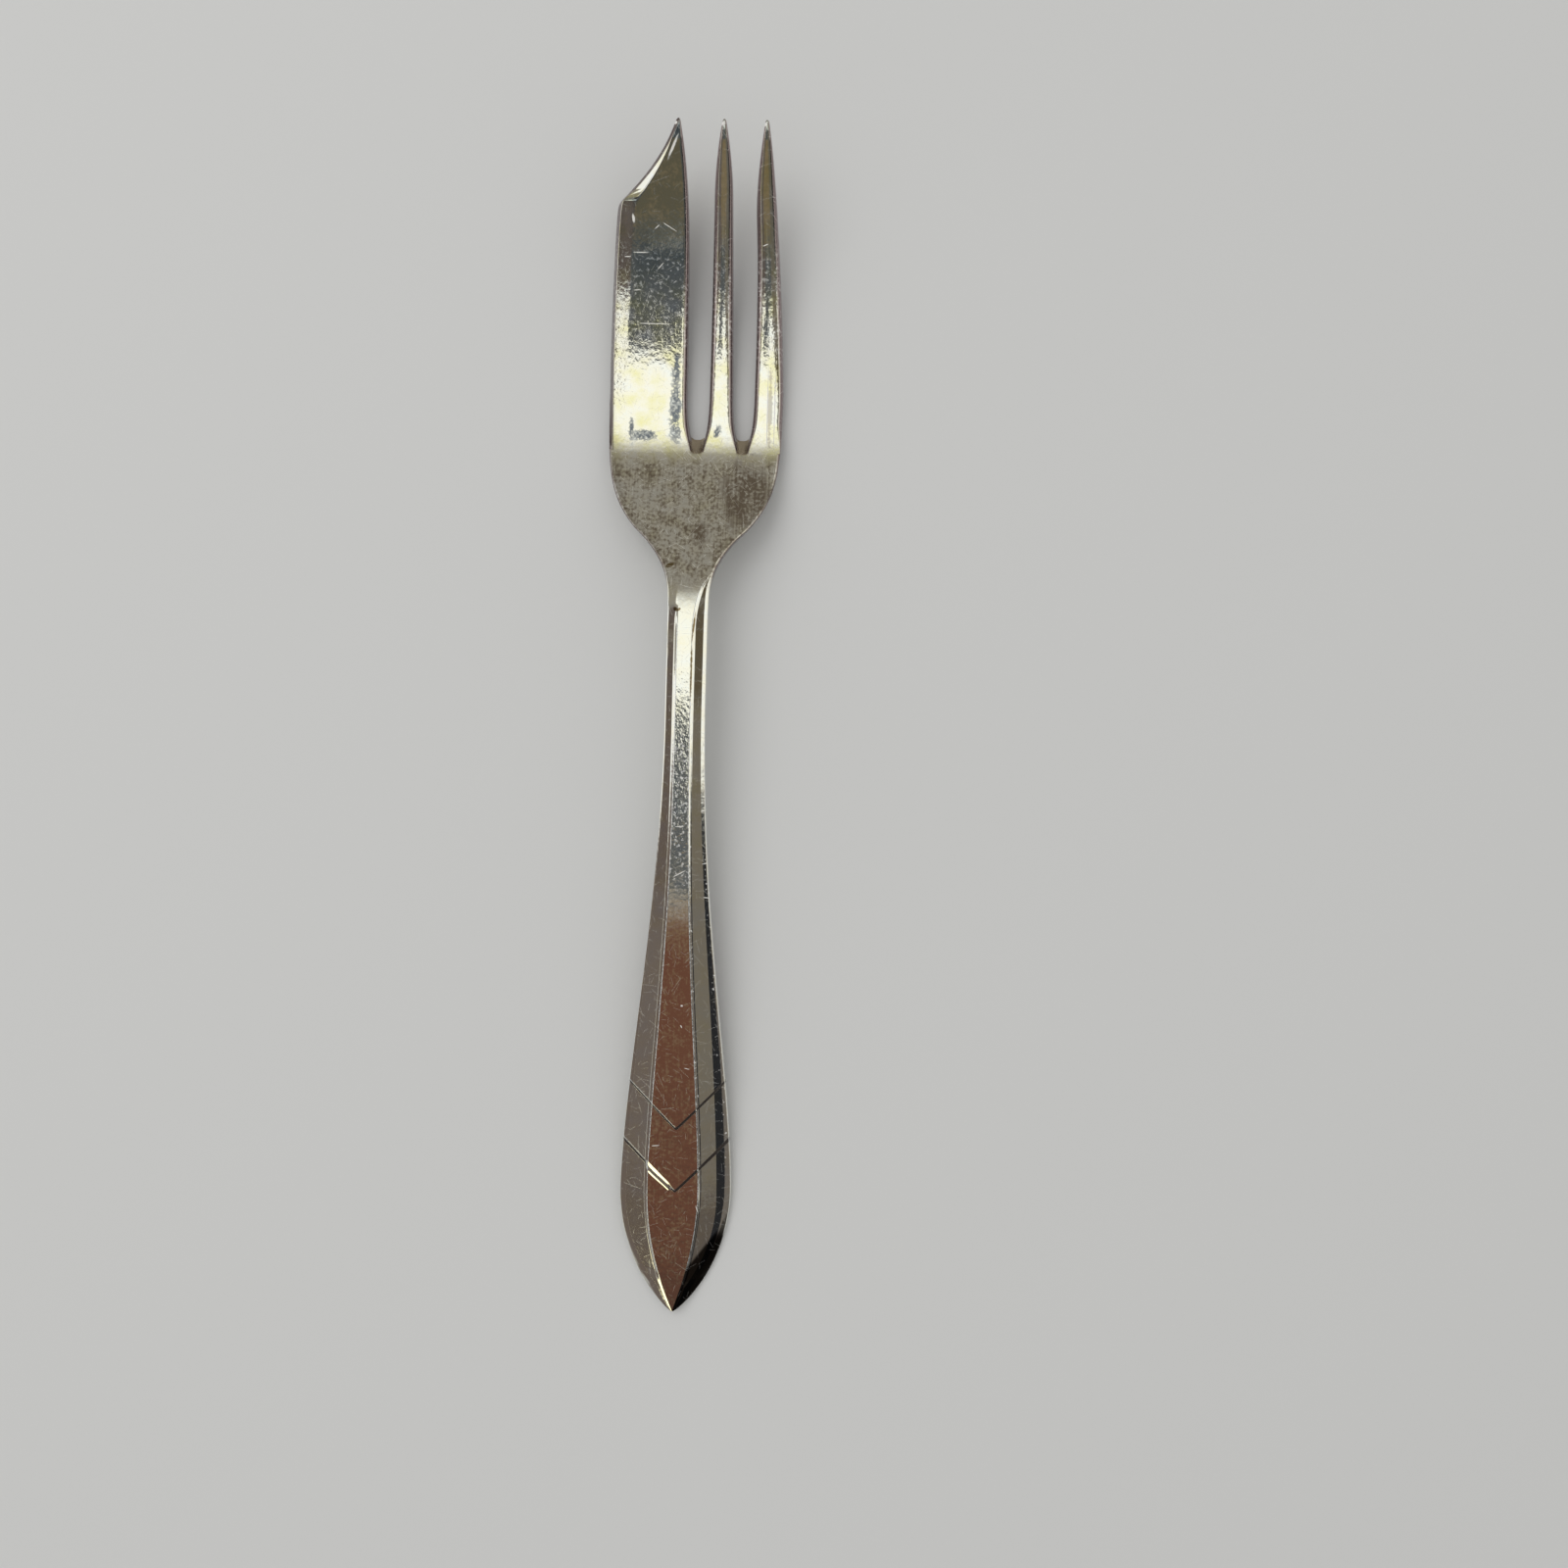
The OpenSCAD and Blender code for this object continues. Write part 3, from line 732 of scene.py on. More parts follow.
def narrow_tine(name, left, right):
    """A tine between two edges, with rounded sides and a face that is crowned as a square."""
    thick = tine_thick(tine_t)
    reach = side_round(tine_t, right - left)
    fall = side_fall(tine_t, thick)
    rise = 0.2 * thick
    zero = np.zeros_like(left)
    over = [[left, 0.4 * thick], [left, thick], [right, thick], [right, 0.4 * thick]]
    upper, marks = rounded(over, np.stack([fall, reach], axis=1), np.stack([reach, fall], axis=1),
                           [0.3, 0.3], 9, [1, 14, 1])
    below = [[left, 0.25 * thick], [left, zero], [right, zero], [right, 0.25 * thick]]
    lower, _ = rounded(below, np.stack([rise, reach], axis=1), np.stack([reach, rise], axis=1),
                       [0, 0], 9, [1, 14, 1])
    offset = (upper[..., 0] * 2 - (left + right)[:, None]) / (right - left)[:, None]
    upper[..., 1] -= (thick * CROWN * ease(tine_t / CROWN_RUN))[:, None] * offset ** 2
    rings = tine_rings(tine_t, upper, lower)
    marks = np.concatenate([marks, np.zeros_like(marks)], axis=1)
    pieces.append(solid(name, rings, skin_normals(rings), marks, np.zeros_like(marks)))


middle_x = (slot_left + slot_right) / 2 - MIDDLE_LEAN * (tine_t / tine_len - 0.5)
middle_half = tine_half(tine_t, MIDDLE_W, MIDDLE_END_W, MIDDLE_POINT) + root_inset(tine_t)
narrow_tine("middle_tine", middle_x - middle_half, middle_x + middle_half)
outer_x = HEAD_W / 2 - OUTER_W / 2 - OUTER_LEAN * through(OUTER_BOW, tine_t / tine_len)
outer_half = tine_half(tine_t, OUTER_W, OUTER_END_W, OUTER_POINT)
outer_right = outer_x + outer_half - HEAD_W / 2 + half_w(root_y + tine_t)
narrow_tine("outer_tine", outer_x - outer_half - root_inset(tine_t), outer_right)

# %% [markdown]
# ## The cutting tine
#
# The left tine is a small knife: a gentle bevel runs along its outer edge, turns the corner and follows the
# hollow curve up to the tip, where it is ground steeper. Its section has more corners than a narrow tine's,
# but the same rounding and the same rings carry it.

# %% Build the cutting tine
HOLLOW_LEN = 9.1
HOLLOW_DEPTH = 0.95
CORNER_ROUND = 0.5
CUT_TAPER = 0.9
CUT_TIP_IN = 1.2
BEVEL_W = 2.3
BEVEL_END_W = 0.3
BEVEL_TILT = math.radians(3.2)
HOLLOW_TILT = math.radians(25)
TILT_RUN = 0.15
EDGE_W = 0.5
EDGE_THICK = 0.35
ROOT_EDGE_SHARE = 0.9
BEVEL_FADE = 8
SLOT_BEND = 0.55
CORNER_BELOW = 1
CORNER_ABOVE = 2.1
CORNER_STEP = 0.1
hollow_start = tine_len - HOLLOW_LEN
corner_rows = rows(hollow_start - CORNER_BELOW, hollow_start + CORNER_ABOVE, CORNER_STEP)
cut_t = np.unique(np.round(np.concatenate([tine_t, corner_rows]), 4))
hollow = (cut_t - hollow_start) / HOLLOW_LEN
tip_left = slot_left - SLOT_W / 2 - CUT_TIP_IN - TINE_TIP_W


def cut_right_x(t):
    """Slot side of the cutting tine, which bends to the left towards the tip as a cube."""
    bend = unit((t / tine_len - SLOT_BEND) / (1 - SLOT_BEND)) ** 3
    return slot_left - SLOT_W / 2 + root_inset(t) - CUT_TIP_IN * bend


def cut_left_x(t):
    """Outer edge: the tapering side and the hollow parabola, joined by a smooth greater-of-two."""
    side = -half_w(root_y + t) + CUT_TAPER * unit((t - ROOT_FADE) / (hollow_start - ROOT_FADE)) ** 2
    corner = -HEAD_W / 2 + CUT_TAPER
    curve = corner + (tip_left - corner) * hollow + 4 * HOLLOW_DEPTH * hollow * (1 - hollow)
    soft = CORNER_ROUND * (1 - unit(hollow) ** POINT_POWER)
    return (side + curve + np.sqrt((side - curve) ** 2 + soft ** 2)) / 2


def cutting_tine():
    """The left tine: a rounded slot side, a flat face, then the bevel down to a thin edge. The bevel narrows
    along the hollow curve, where it tilts more, and fades out at the root. Painted shade darkens the thin
    edge."""
    left = cut_left_x(cut_t)
    right = cut_right_x(cut_t)
    thick = tine_thick(cut_t)
    reach = side_round(cut_t, right - left)
    zero = np.zeros_like(left)
    fade = unit(cut_t / BEVEL_FADE)
    along = unit(hollow)
    bevel = np.minimum(BEVEL_END_W + (BEVEL_W - BEVEL_END_W) * (1 - along) ** 1.5, (right - left) / 2)
    lip = np.minimum(EDGE_W, bevel / 2)
    tilt = BEVEL_TILT + (HOLLOW_TILT - BEVEL_TILT) * unit(along / TILT_RUN)
    thin = np.minimum(EDGE_THICK / thick, 0.5)
    edge_z = thick * (ROOT_EDGE_SHARE + fade * (thin - ROOT_EDGE_SHARE))
    land_z = thick - fade * (bevel - lip) * np.tan(tilt)
    foot_z = (1 - fade) * CURL_RISE
    wall_z = (edge_z + foot_z) / 2
    over = [[left, wall_z + 0.1 * edge_z], [left, edge_z], [left + lip, land_z], [left + bevel, thick],
            [right, thick], [right, 0.4 * thick]]
    before = np.stack([0.3 * edge_z, zero + 0.15, zero + 0.2, reach], axis=1)
    after = np.stack([zero + 0.12, zero + 0.15, zero + 0.2, side_fall(cut_t, thick)], axis=1)
    upper, marks = rounded(over, before, after, [0.5, 0.5, 0.4, 0.3], 7, [1, 0, 4, 30, 1])
    below = [[left, wall_z - 0.1 * edge_z], [left, foot_z], [right, zero], [right, 0.25 * thick]]
    lower, _ = rounded(below, np.stack([0.3 * edge_z, reach], axis=1),
                       np.stack([zero + 0.15, 0.2 * thick], axis=1), [0, 0], 9, [1, 44, 1])
    rings = tine_rings(cut_t, upper, lower)
    # Painted shade along the thin cutting edge.
    edge_shade = ease(1.5 - (upper[..., 0] - left[:, None]) / RIM_SHADE_REACH)
    none = np.zeros_like(marks)
    pieces.append(solid("cutting_tine", rings, skin_normals(rings),
                        np.concatenate([marks, none], axis=1), np.concatenate([edge_shade, none], axis=1)))


cutting_tine()

# %% [markdown]
# ## Shading written as arithmetic
#
# Shader nodes are usually wired by hand in Blender's editor. In a script they read better as arithmetic: a
# Wire stands for the output of a node, and adding or multiplying wires adds Math nodes. The finish of the
# metal and the light of the room are both written this way.

# %% Wires between shader nodes


def plug(value, place):
    """Link a wire to a socket, or set a plain value on it."""
    if isinstance(value, Wire):
        place.id_data.links.new(value.socket, place)
    else:
        place.default_value = value


class Wire:
    """A value that flows between nodes. Arithmetic on it adds Math nodes to the same tree."""

    def __init__(self, socket):
        self.socket = socket

    def calc(self, operation, *others):
        node = self.socket.id_data.nodes.new("ShaderNodeMath")
        node.operation = operation
        for value, place in zip((self, *others), node.inputs):
            plug(value, place)
        return Wire(node.outputs[0])

    def __add__(self, other):
        return self.calc("ADD", other)

    def __sub__(self, other):
        return self.calc("SUBTRACT", other)

    def __mul__(self, other):
        return self.calc("MULTIPLY", other)

    def __truediv__(self, other):
        return self.calc("DIVIDE", other)

    def __abs__(self):
        return self.calc("ABSOLUTE")

    def step(self, low, high):
        """Soft step from 0 at low to 1 at high, or downwards if low is the greater."""
        node = self.socket.id_data.nodes.new("ShaderNodeMapRange")
        node.interpolation_type = "SMOOTHSTEP"
        plug(self, node.inputs["Value"])
        node.inputs["From Min"].default_value = low
        node.inputs["From Max"].default_value = high
        return Wire(node.outputs["Result"])

    def between(self, low, high, soft, soft_high=None):
        """1 inside a band with soft borders, 0 outside."""
        fade = soft_high or soft
        return self.step(low - soft / 2, low + soft / 2) * self.step(high + fade / 2, high - fade / 2)

    def blend(self, a, b):
        """Colour a where this wire is 0, colour b where it is 1."""
        node = self.socket.id_data.nodes.new("ShaderNodeMix")
        node.data_type = "RGBA"
        factor, color_a, color_b = node.inputs[0], node.inputs[6], node.inputs[7]
        plug(self, factor)
        plug(a, color_a)
        plug(b, color_b)
        return Wire(node.outputs[2])


def parts(socket):
    """The three components of a vector socket as wires."""
    node = socket.id_data.nodes.new("ShaderNodeSeparateXYZ")
    socket.id_data.links.new(socket, node.inputs[0])
    return [Wire(out) for out in node.outputs]


print("wires can:", [name for name in vars(Wire) if not name.startswith("__")])

# %% [markdown]
# ## Silver plate: places and grain
#
# The finish is painted by place: everything below reads the coordinates of the fork in millimetres and the
# direction that the surface faces, so it stays put from every side. Noise of several sizes gives the cloudy
# film, the speckle of worn plate and the fine ripples that break up the mirror images.

# %% Places, grains and marks on the metal
silver = bpy.data.materials.new("silver_plate_worn")
silver.use_nodes = True
metal = silver.node_tree
spot = metal.nodes.new("ShaderNodeTexCoord")
x, y, _ = [c / MM for c in parts(spot.outputs["Object"])]
facing_x, facing_y, facing_z = parts(spot.outputs["Normal"])
FAR = 1000


def local(place, size, turn=0):
    """Coordinates seen from a place in millimetres, turned by degrees and divided by a size."""
    node = metal.nodes.new("ShaderNodeMapping")
    node.vector_type = "TEXTURE"
    metal.links.new(spot.outputs["Object"], node.inputs["Vector"])
    node.inputs["Location"].default_value = [v * MM for v in place]
    node.inputs["Rotation"].default_value = (0, 0, math.radians(turn))
    node.inputs["Scale"].default_value = [v * MM for v in size]
    return node.outputs["Vector"]


def grain(size, detail=2):
    """Noise about 0 with features of the size in millimetres along x, y and z."""
    node = metal.nodes.new("ShaderNodeTexNoise")
    metal.links.new(local((0, 0, 0), size), node.inputs["Vector"])
    node.inputs["Scale"].default_value = 1
    node.inputs["Detail"].default_value = detail
    return Wire(node.outputs["Fac"]) - 0.5


def mark(px, py, length, width, turn=0, ragged=0):
    """1 inside an oval mark on the fork, 0 outside, with a rim that can be ragged."""
    node = metal.nodes.new("ShaderNodeVectorMath")
    node.operation = "LENGTH"
    metal.links.new(local((px, py, 0), (length / 2, width / 2, FAR), turn), node.inputs[0])
    return (Wire(node.outputs["Value"]) + (cloud + speckle) * ragged).step(1, 0.5)


def marks_of(table, ragged=0):
    """All marks of a table as one wire."""
    total = mark(*table[0], ragged=ragged)
    for row in table[1:]:
        total = total.calc("MAXIMUM", mark(*row, ragged=ragged))
    return total


cloud = grain((2.2, 2.2, 2.2), 4)
speckle = grain((0.4, 0.4, 0.4), 3)
ripple = grain((0.42, 0.5, 0.42), 2)
streak = grain((0.22, 5, 5), 2)
print("finish starts with", len(metal.nodes), "nodes")

# %% [markdown]
# ## Silver plate: tarnish film
#
# Tarnish on silver is a thin film of sulphide. As it thickens it turns from clear to straw yellow, red-brown,
# purple and at last blue-grey, so one film thickness and one colour ramp give all its shades. The masks below
# say where it gathers: a cloth hardly reaches the walls between the tines, and it rubs the crests bare. Some
# masks also hold painted light: a painted highlight atop the left arms of the chevron risers, painted shade
# below it and along the right arms, and a coat on the steep walls of the head that is partly painted shade.

# %% Masks of the fork, and the film's colour
FILM_COLOURS = [(0, (0.87, 0.9, 0.9)), (0.12, (0.9, 0.89, 0.8)), (0.3, (0.85, 0.83, 0.5)),
                (0.55, (0.8, 0.62, 0.52)), (0.8, (0.46, 0.37, 0.35)), (1, (0.24, 0.21, 0.21))]


def painted(key):
    """An attribute of the meshes as a wire."""
    node = metal.nodes.new("ShaderNodeAttribute")
    node.attribute_name = key
    return Wire(node.outputs["Fac"])


crest = painted("crest")
# Painted shade along the rims, read from the mesh attribute.
rim_shade = painted("tarnish_and_painted_light")
# Worn crests, and the painted highlight atop the risers' left arms: thinner film, so a lighter colour there.
rubbed_and_highlight = crest.step(0.35, 0.9) * (speckle * 3 + 0.7)
# Painted shade on the chevron risers: further down it turns black, dull and not metallic.
riser_shade = crest.step(-0.35, -0.9)
level = abs(facing_x).step(0.1, 0.04)
head = y.step(34, 37)
slot_wall = abs(facing_x).step(0.12, 0.4) * x.step(-4.5, -3)
steep = facing_z.step(0.92, 0.78)
# The steep walls of the head: a coat that is partly tarnish and partly painted shade.
wall = y.step(32, 34) * slot_wall.calc("MAXIMUM", steep)
neck_flank = y.between(-18, 17, 14) * abs(abs(facing_x) - 0.12).step(0.1, 0.03)
panel_reflection_area = level * y.step(-19, -29)
tine_film = y.step(50, 60)
palm_film = y.between(18, 36, 4)
gold = y.between(33.5, 36.5, 2.5) * (cloud + speckle + 0.4)
tarnish_and_painted_light = cloud * (head * 0.4 + 0.3) + speckle * 0.12 + head * 0.06 + 0.08
tarnish_and_painted_light = tarnish_and_painted_light + gold * 0.12 + neck_flank * 0.04 + palm_film * 0.04 - rubbed_and_highlight * 0.3
ramp = metal.nodes.new("ShaderNodeValToRGB")
ramp.color_ramp.elements.remove(ramp.color_ramp.elements[1])
ramp.color_ramp.elements[0].color = (*FILM_COLOURS[0][1], 1)
for thickness, colour in FILM_COLOURS[1:]:
    ramp.color_ramp.elements.new(thickness).color = (*colour, 1)
plug(tarnish_and_painted_light, ramp.inputs["Fac"])
print("film ramp:", len(ramp.color_ramp.elements), "colours")

# %% [markdown]
# ## Silver plate: scratches, nicks and painted glints
#
# Years of washing leave countless hairlines, and use leaves a few deeper scratches, nicks along the edge and
# worn specks. They are matt: in a dark mirror they shine, and in a bright one they look dull. The few deep
# ones have places of their own, as x, y, length, width and turn, and the hairlines come from a pattern. Some
# of the placed marks are painted glints: the light spots at the three tine tips and a few light streaks near
# the cutting tine's point.

# %% Hairlines, scratches, worn specks and painted glints
# Scratches and painted glints: light spots at the tine tips, light streaks near the cutting tine's point.
SCRATCHES_AND_GLINTS = [(-0.25, -18, 2.1, 0.13, 29), (-0.35, -12.2, 1.3, 0.13, 0), (0.4, -34.4, 0.4, 0.3, 0),
             (0.4, -37, 0.6, 0.16, -60), (1.2, -42.3, 0.9, 0.13, -10), (-2.5, -52.2, 1.2, 0.13, 5),
             (2.8, -60.2, 1.3, 0.13, -72), (2.5, -10.2, 0.9, 0.13, 20), (2.8, -16.7, 0.9, 0.13, 10),
             (3.1, -20.9, 0.9, 0.13, -5), (-4.65, 57, 1.4, 0.13, 48), (-3.5, 61.4, 2.4, 0.13, -29),
             (-5.1, 61.4, 0.9, 0.16, 40), (-8.7, 58, 1, 0.13, 0), (-7, 58.5, 2.2, 0.13, 0),
             (-7.5, 54.2, 1.2, 0.13, 4), (-5.4, 50.3, 5, 0.13, 0), (-8, 62.3, 0.4, 1.2, 10),
             (-3.2, 70.1, 3.4, 0.4, 65), (-2.9, 72.8, 0.6, 0.5, 0), (2.85, 72.8, 0.6, 0.5, 0),
             (7.95, 72.8, 0.6, 0.5, 0), (9, 40.2, 13, 0.16, 90), (9.9, 40.2, 13, 0.15, 90),
             (8.3, 59.7, 0.9, 0.13, 20)]


def hairlines(cell, share, width):
    """1 on fine straight scratches. Each cell of a Voronoi pattern that the share picks holds one, in a
    random direction: the distance from a line through the cell's centre is x sine less y cosine."""
    cells = metal.nodes.new("ShaderNodeTexVoronoi")
    cells.voronoi_dimensions = "2D"
    metal.links.new(local((0, 0, 0), (1, 1, 1)), cells.inputs["Vector"])
    cells.inputs["Scale"].default_value = 1 / cell
    centre = parts(cells.outputs["Position"])
    pick = parts(cells.outputs["Color"])
    turn = pick[0] * math.tau
    across = (x - centre[0]) * turn.calc("SINE") - (y - centre[1]) * turn.calc("COSINE")
    return abs(across).step(width / 2, width / 6) * pick[1].step(share + 0.02, share - 0.02)


fine = hairlines(0.7, 0.35, 0.06).calc("MAXIMUM", hairlines(1.7, 0.22, 0.07))
scratch_and_glint = marks_of(SCRATCHES_AND_GLINTS, 0.5)
nicks = facing_x.step(0.28, 0.36) * facing_z.step(0, 0.2) * y.between(-54, -8, 6) * speckle.step(0.12, 0.2)
tine_worn = y.between(46, 59, 4) * speckle.step(0.02, 0.2) * 0.5
neck_worn = level * y.between(-20, -1, 4) * speckle.step(0.04, 0.18) * 0.8
bare_and_glints = scratch_and_glint.calc("MAXIMUM", nicks).calc("MAXIMUM", tine_worn + neck_worn)
print("scratches with places of their own:", len(SCRATCHES_AND_GLINTS))

# %% [markdown]
# ## Silver plate: colours over the film
#
# Further coats are laid over the film one by one, as a restorer would tint a copy: a mottled red-brown
# painted reflection on the panel, olive tine ends, a dull palm, dark blue-grey spots, walls that are partly
# tarnish and partly painted shade, painted shade along the rims, stains with painted shade along the neck's
# steps, and a near-black painted reflection near the handle's tip. Bare scratches with painted glints among
# them, and the black painted shade on the chevron risers come last. A mask says how much of each coat is
# there.

# %% Coats of colour
# Stains, and painted shade: the long thin marks along the panel's steps at the neck.
STAINS_AND_STEP_SHADE = [(-2.3, 19.9, 1.6, 0.6, 25), (-1.45, 14.4, 0.8, 0.5, -45), (-1.1, 14.35, 0.6, 0.4, 30),
          (0.62, 6.5, 0.28, 9), (0.76, 12.2, 0.28, 5, -5)]
DULL = [(6, 29, 5.6, 11), (7.8, 29.2, 4.6, 8), (1, 24, 2.4, 3.4), (9.3, 41, 0.6, 14)]
# Dark blue-grey spots, mostly on the cutting tine.
DARK_BLUE_SPOTS = [(-2.5, 40, 1.6, 9), (-2.5, 45, 1.2, 6), (-2.2, 37.2, 1, 2), (-6.3, 36.7, 3.6, 1.5),
          (-8, 37.4, 0.7, 3), (2.7, 37.2, 0.9, 1.8, -20)]
# Painted reflection: a mottled red-brown tint on the handle's flat panel, standing in for a brown thing
# above.
brown = panel_reflection_area * (cloud * 0.8 + speckle * 1.5 + streak * 0.7 + 1 - fine * 0.5)
olive = tine_film * x.between(-8, 0, 1.6) * 0.55 + tine_film * 0.45
olive = olive * facing_x.step(-0.2, -0.12) * (cloud + speckle + 1)
dull = palm_film * y.step(35, 32) * (cloud * 1.5 + streak * 1.4 + speckle * 3.4 + 0.28)
dull = marks_of(DULL, 1.5) * 0.55 + dull
dark_blue_spots = marks_of(DARK_BLUE_SPOTS, 2) * (speckle * 2.5 + cloud * 1.5 + 1)
# Partly tarnish, partly painted shade: walls facing sideways darker, walls facing forward lighter.
wall_tarnish_and_shade_colour = facing_y.step(0.2, 0.5).blend((0.34, 0.28, 0.28, 1), (0.48, 0.4, 0.28, 1))
# Painted reflection of something dark: a near-black wedge on the right flank near the handle's tip.
painted_dark_reflection = (y - x * 1.31).step(-69.7, -70.4) * facing_x.step(0.04, 0.09) * facing_z.step(0, 0.2)
painted_dark_reflection = painted_dark_reflection * (y + cloud * 3).step(-62.5, -64.5)
COATS = [
    # Painted reflection on the handle's panel.
    (brown, (0.5, 0.295, 0.3, 1)),
    (olive, (0.37, 0.44, 0.47, 1)),
    (dull, (0.33, 0.28, 0.225, 1)),
    (dark_blue_spots, (0.15, 0.17, 0.2, 1)),
    # Walls: partly tarnish, partly painted shade.
    (wall, wall_tarnish_and_shade_colour),
    # Painted shade along the rims.
    (rim_shade, (0.19, 0.155, 0.15, 1)),
    # Stains, and painted shade along the neck's steps.
    (marks_of(STAINS_AND_STEP_SHADE, 1.2), (0.25, 0.19, 0.1, 1)),
    # Painted reflection of something dark.
    (painted_dark_reflection, (0.06, 0.055, 0.05, 1)),
    # Bare metal, scratches, and painted glints.
    (bare_and_glints.calc("MAXIMUM", fine * 0.3), (0.9, 0.89, 0.86, 1)),
    # Painted shade on the chevron risers.
    (riser_shade, (0.02, 0.012, 0.008, 1)),
]
shade = Wire(ramp.outputs["Color"])
for mask, colour in COATS:
    shade = mask.blend(shade, colour)
print("coats:", len(COATS))

# %% [markdown]
# ## Silver plate: gloss
#
# Clean plate is a mirror. Film, hairlines and rubbed crests make it rougher. What is bare, with the painted
# glints, and the painted shade on the chevron risers are less metallic. Very low ripples bend the mirror
# images a few degrees, which frays their borders as on metal that has been polished by hand.

# %% Gloss of the metal, and the finished material
RIPPLE_HEIGHT = 0.01 * MM
roughness = speckle * 0.06 + tarnish_and_painted_light * 0.06 + streak * 0.05 + rubbed_and_highlight * 0.25 + wall * 0.12 + riser_shade * 0.4 + 0.07
roughness = roughness + fine * (palm_film * 0.15 + 0.14) + scratch_and_glint * 0.4 + palm_film * 0.08
matt = riser_shade.calc("MAXIMUM", bare_and_glints * 0.6).calc("MAXIMUM", fine * 0.15).calc("MAXIMUM", rubbed_and_highlight * 0.4)
rough_spots = level * y.between(-16, 10, 6) * 2.2 + y.between(38, 55, 6) * 1.3 + 0.35
bump = metal.nodes.new("ShaderNodeBump")
bump.inputs["Distance"].default_value = RIPPLE_HEIGHT
plug(ripple * rough_spots + cloud * 1.2, bump.inputs["Height"])
shader = metal.nodes["Principled BSDF"]
plug(shade, shader.inputs["Base Color"])
plug(matt * -1 + 1, shader.inputs["Metallic"])
plug(roughness, shader.inputs["Roughness"])
plug(Wire(bump.outputs["Normal"]), shader.inputs["Normal"])
for piece in pieces:
    piece.data.materials.append(silver)
print("finish:", len(metal.nodes), "nodes on", len(pieces), "pieces")

# %% [markdown]
# ## Table
#
# The fork lies on a plain pale table. A single large quad is enough.

# %% Table
TABLE_REACH = 1.5
TABLE_COLOUR = (0.58, 0.58, 0.57, 1)
table_corners = np.array([(-1, -1, 0), (1, -1, 0), (1, 1, 0), (-1, 1, 0)]) * TABLE_REACH
floor_mesh = bpy.data.meshes.new("table")
floor_mesh.from_pydata(table_corners.tolist(), [], [(0, 1, 2, 3)])
floor = bpy.data.objects.new("table", floor_mesh)
bpy.context.scene.collection.objects.link(floor)
pale = bpy.data.materials.new("pale_table")
pale.use_nodes = True
pale_shader = pale.node_tree.nodes["Principled BSDF"]
pale_shader.inputs["Base Color"].default_value = TABLE_COLOUR
pale_shader.inputs["Roughness"].default_value = 0.9
floor_mesh.materials.append(pale)
print("table:", 2 * TABLE_REACH, "m wide")

# %% [markdown]
# ## Studio for a mirror
#
# Polished metal shows what is around it and hardly any colour of its own. A product photographer therefore
# builds a surrounding of softboxes and dark flags for it. Here they are zones of the world, each a range of
# directions measured from straight up in degrees to the right and to the front, painted one over the other.
# Each zone has the width of its soft borders and of its front border. Only glossy rays see the zones.

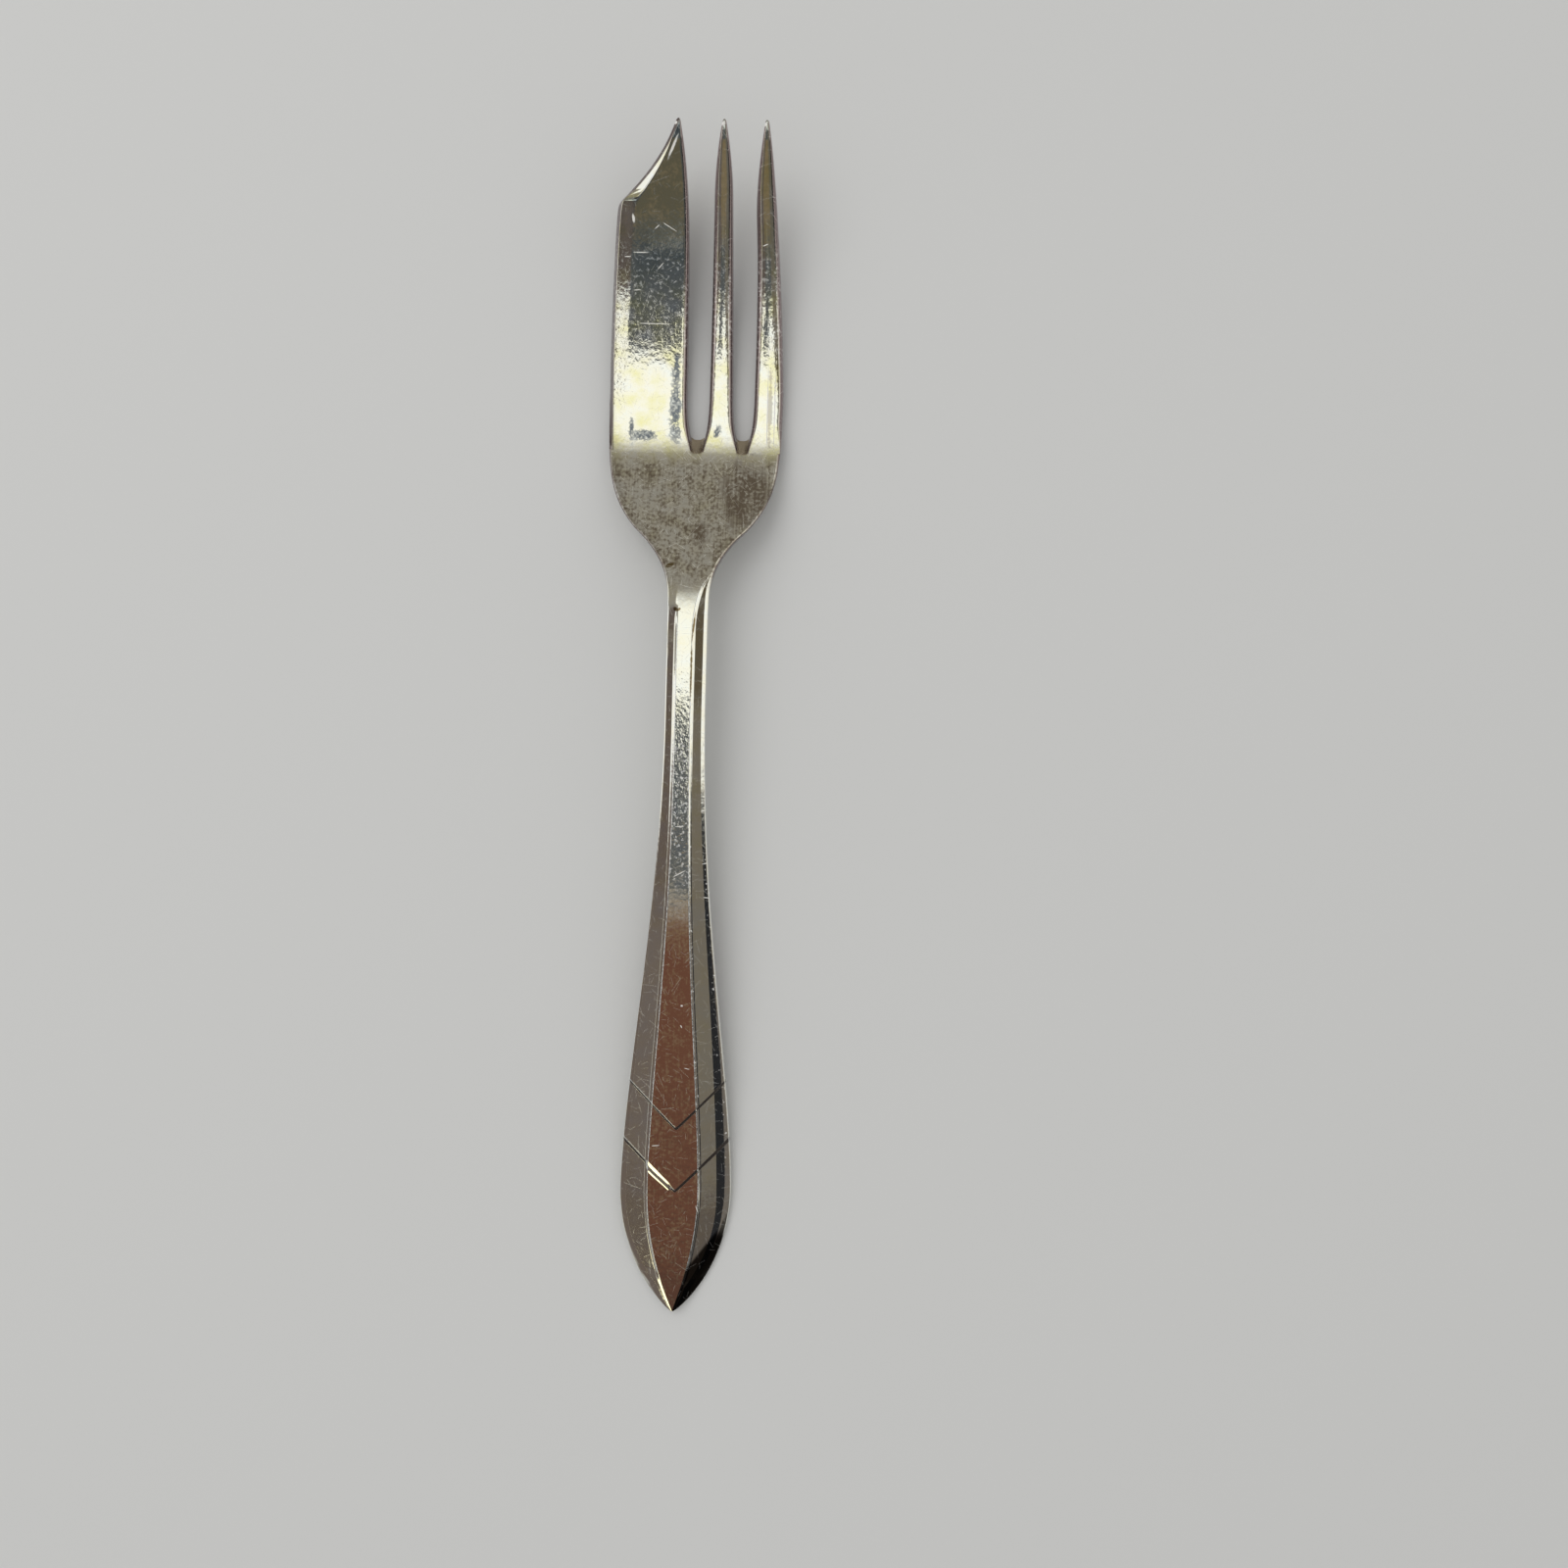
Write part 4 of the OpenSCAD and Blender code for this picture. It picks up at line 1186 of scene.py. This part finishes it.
# %% World
DEGREES = 180 / math.pi
world = bpy.data.worlds.new("studio")
world.use_nodes = True
bpy.context.scene.world = world
studio = world.node_tree
direction = studio.nodes.new("ShaderNodeTexCoord")
dx, dy, dz = parts(direction.outputs["Generated"])
right = dx.calc("ARCTAN2", dz) * DEGREES
front = dy.calc("ARCTAN2", dz) * DEGREES
off_zenith = dz.calc("ARCCOSINE") * DEGREES
WALL = (0.27, 0.25, 0.215, 1)
HORIZON = (0.4, 0.39, 0.37, 1)
EVEN_LIGHT = (0.7, 0.7, 0.695, 1)
BACKDROP = (0.8, 0.8, 0.79, 1)
ZONES = [
    ("left grey flag", (-25, -8), (-80, -12), (3, 3), (0.148, 0.12, 0.106, 1)),
    ("right grey flag", (5, 19), (-80, -1), (3, 3), (0.163, 0.143, 0.117, 1)),
    ("brown flag over the handle", (-11, 7), (-40, -13.5), (2, 2), (0.24, 0.18, 0.105, 1)),
    ("left end flag", (-25, -8), (-80, -23.6), (3, 1.5), (0.12, 0.094, 0.078, 1)),
    ("right end flag", (5, 19), (-80, -23.6), (3, 1.5), (0.105, 0.085, 0.07, 1)),
    ("brown end flag", (-11, 7), (-40, -23.2), (2, 1.5), (0.155, 0.13, 0.085, 1)),
    ("brown flag left of the neck", (-25, 5), (-13, 9.5), (3, 3), (0.12, 0.095, 0.085, 1)),
    ("brown flag right of the neck", (5, 18), (-1, 14), (3, 3), (0.1, 0.08, 0.055, 1)),
    ("softbox", (-14.5, 5), (-8, 17.5), (1.5, 8), (1.06, 1.05, 0.95, 1)),
    ("dark flag", (-9, -4.9), (-12.9, -1.2), (1, 2.5), (0.135, 0.14, 0.138, 1)),
    ("dark flag at the neck", (-10, -1.9), (-12.9, -0.7), (0.6, 2), (0.09, 0.095, 0.1, 1)),
    ("beige strip", (-4.8, -2.6), (-13.5, -11.9), (0.6, 0.6), (0.6, 0.54, 0.44, 1)),
    ("long dark flag", (-10, 4), (-12.9, -6.5), (1.5, 1.5), (0.1, 0.105, 0.108, 1)),
    ("upper left window", (-60.5, -44), (12, 58), (3, 3), (1, 1, 0.98, 1)),
    ("left window", (-75, -26), (-10, 11), (3, 3), (1, 0.98, 0.93, 1)),
    ("left light strip", (-30.5, -24.5), (-34, -8), (1.2, 2), (0.62, 0.6, 0.54, 1)),
    ("right light wall", (20, 66), (-7.5, 40), (2, 2), (1, 0.98, 0.9, 1)),
    ("right dark flag", (20, 80), (-80, -7.5), (2, 2), (0.02, 0.02, 0.022, 1)),
    ("front right dark flag", (14.5, 90), (-80, -27), (2, 2), (0.02, 0.02, 0.022, 1)),
    ("right brown flag", (47, 63), (-48, -7.5), (2, 2), (0.15, 0.13, 0.115, 1)),
    ("far right wall", (63, 90), (-48, -7.5), (2, 2), (0.5, 0.47, 0.42, 1)),
    ("far right window", (58, 90), (-16, -5), (2, 3), (1, 0.98, 0.9, 1)),
    ("low dark flag", (-90, 90), (-90, -46), (2, 2), (0.045, 0.04, 0.035, 1)),
    ("left brown flag", (-80, -31.5), (-80, -10), (1.2, 2), (0.14, 0.11, 0.095, 1)),
    ("warm lamp at the chevron", (-26, -13), (-43, -31.5), (2, 2), (2, 1.85, 1.2, 1)),
    ("warm lamp at the tip", (-38, -26), (-41, -31), (2, 2), (1.8, 1.65, 1.1, 1)),
]
glow = WALL
for label, across_range, along_range, soft, colour in ZONES:
    zone = right.between(*across_range, soft[0]) * front.between(*along_range, *soft)
    glow = zone.blend(glow, colour)
    glow.socket.node.label = label
glow = off_zenith.step(72, 84).blend(glow, HORIZON)
path = studio.nodes.new("ShaderNodeLightPath")
sky = Wire(path.outputs["Is Glossy Ray"]).blend(EVEN_LIGHT, glow)
sky = Wire(path.outputs["Is Camera Ray"]).blend(sky, BACKDROP)
plug(sky, studio.nodes["Background"].inputs["Color"])
print("studio:", len(ZONES), "zones")

# %% [markdown]
# ## Lamp
#
# The table gets an even light from the world and one large soft lamp from the upper left, which gives the
# fork its faint shadow. The metal doesn't mirror the lamp, because the zones already hold its windows. The
# colours are shown as they are, so the view transform is the standard one.

# %% Lamp and view
LAMP_PLACE = (-0.45, 0.35, 0.75)
LAMP_SIZE = 0.8
LAMP_POWER = 3.2
lamp_data = bpy.data.lights.new("window", "AREA")
lamp_data.shape = "DISK"
lamp_data.size = LAMP_SIZE
lamp_data.energy = LAMP_POWER
lamp = bpy.data.objects.new("window", lamp_data)
lamp.location = LAMP_PLACE
lamp.rotation_euler = lamp.location.to_track_quat("Z", "Y").to_euler()
lamp.visible_glossy = False
bpy.context.scene.collection.objects.link(lamp)
bpy.context.scene.view_settings.view_transform = "Standard"
print("lamp:", LAMP_POWER, "W,", LAMP_SIZE, "m wide")

# %% [markdown]
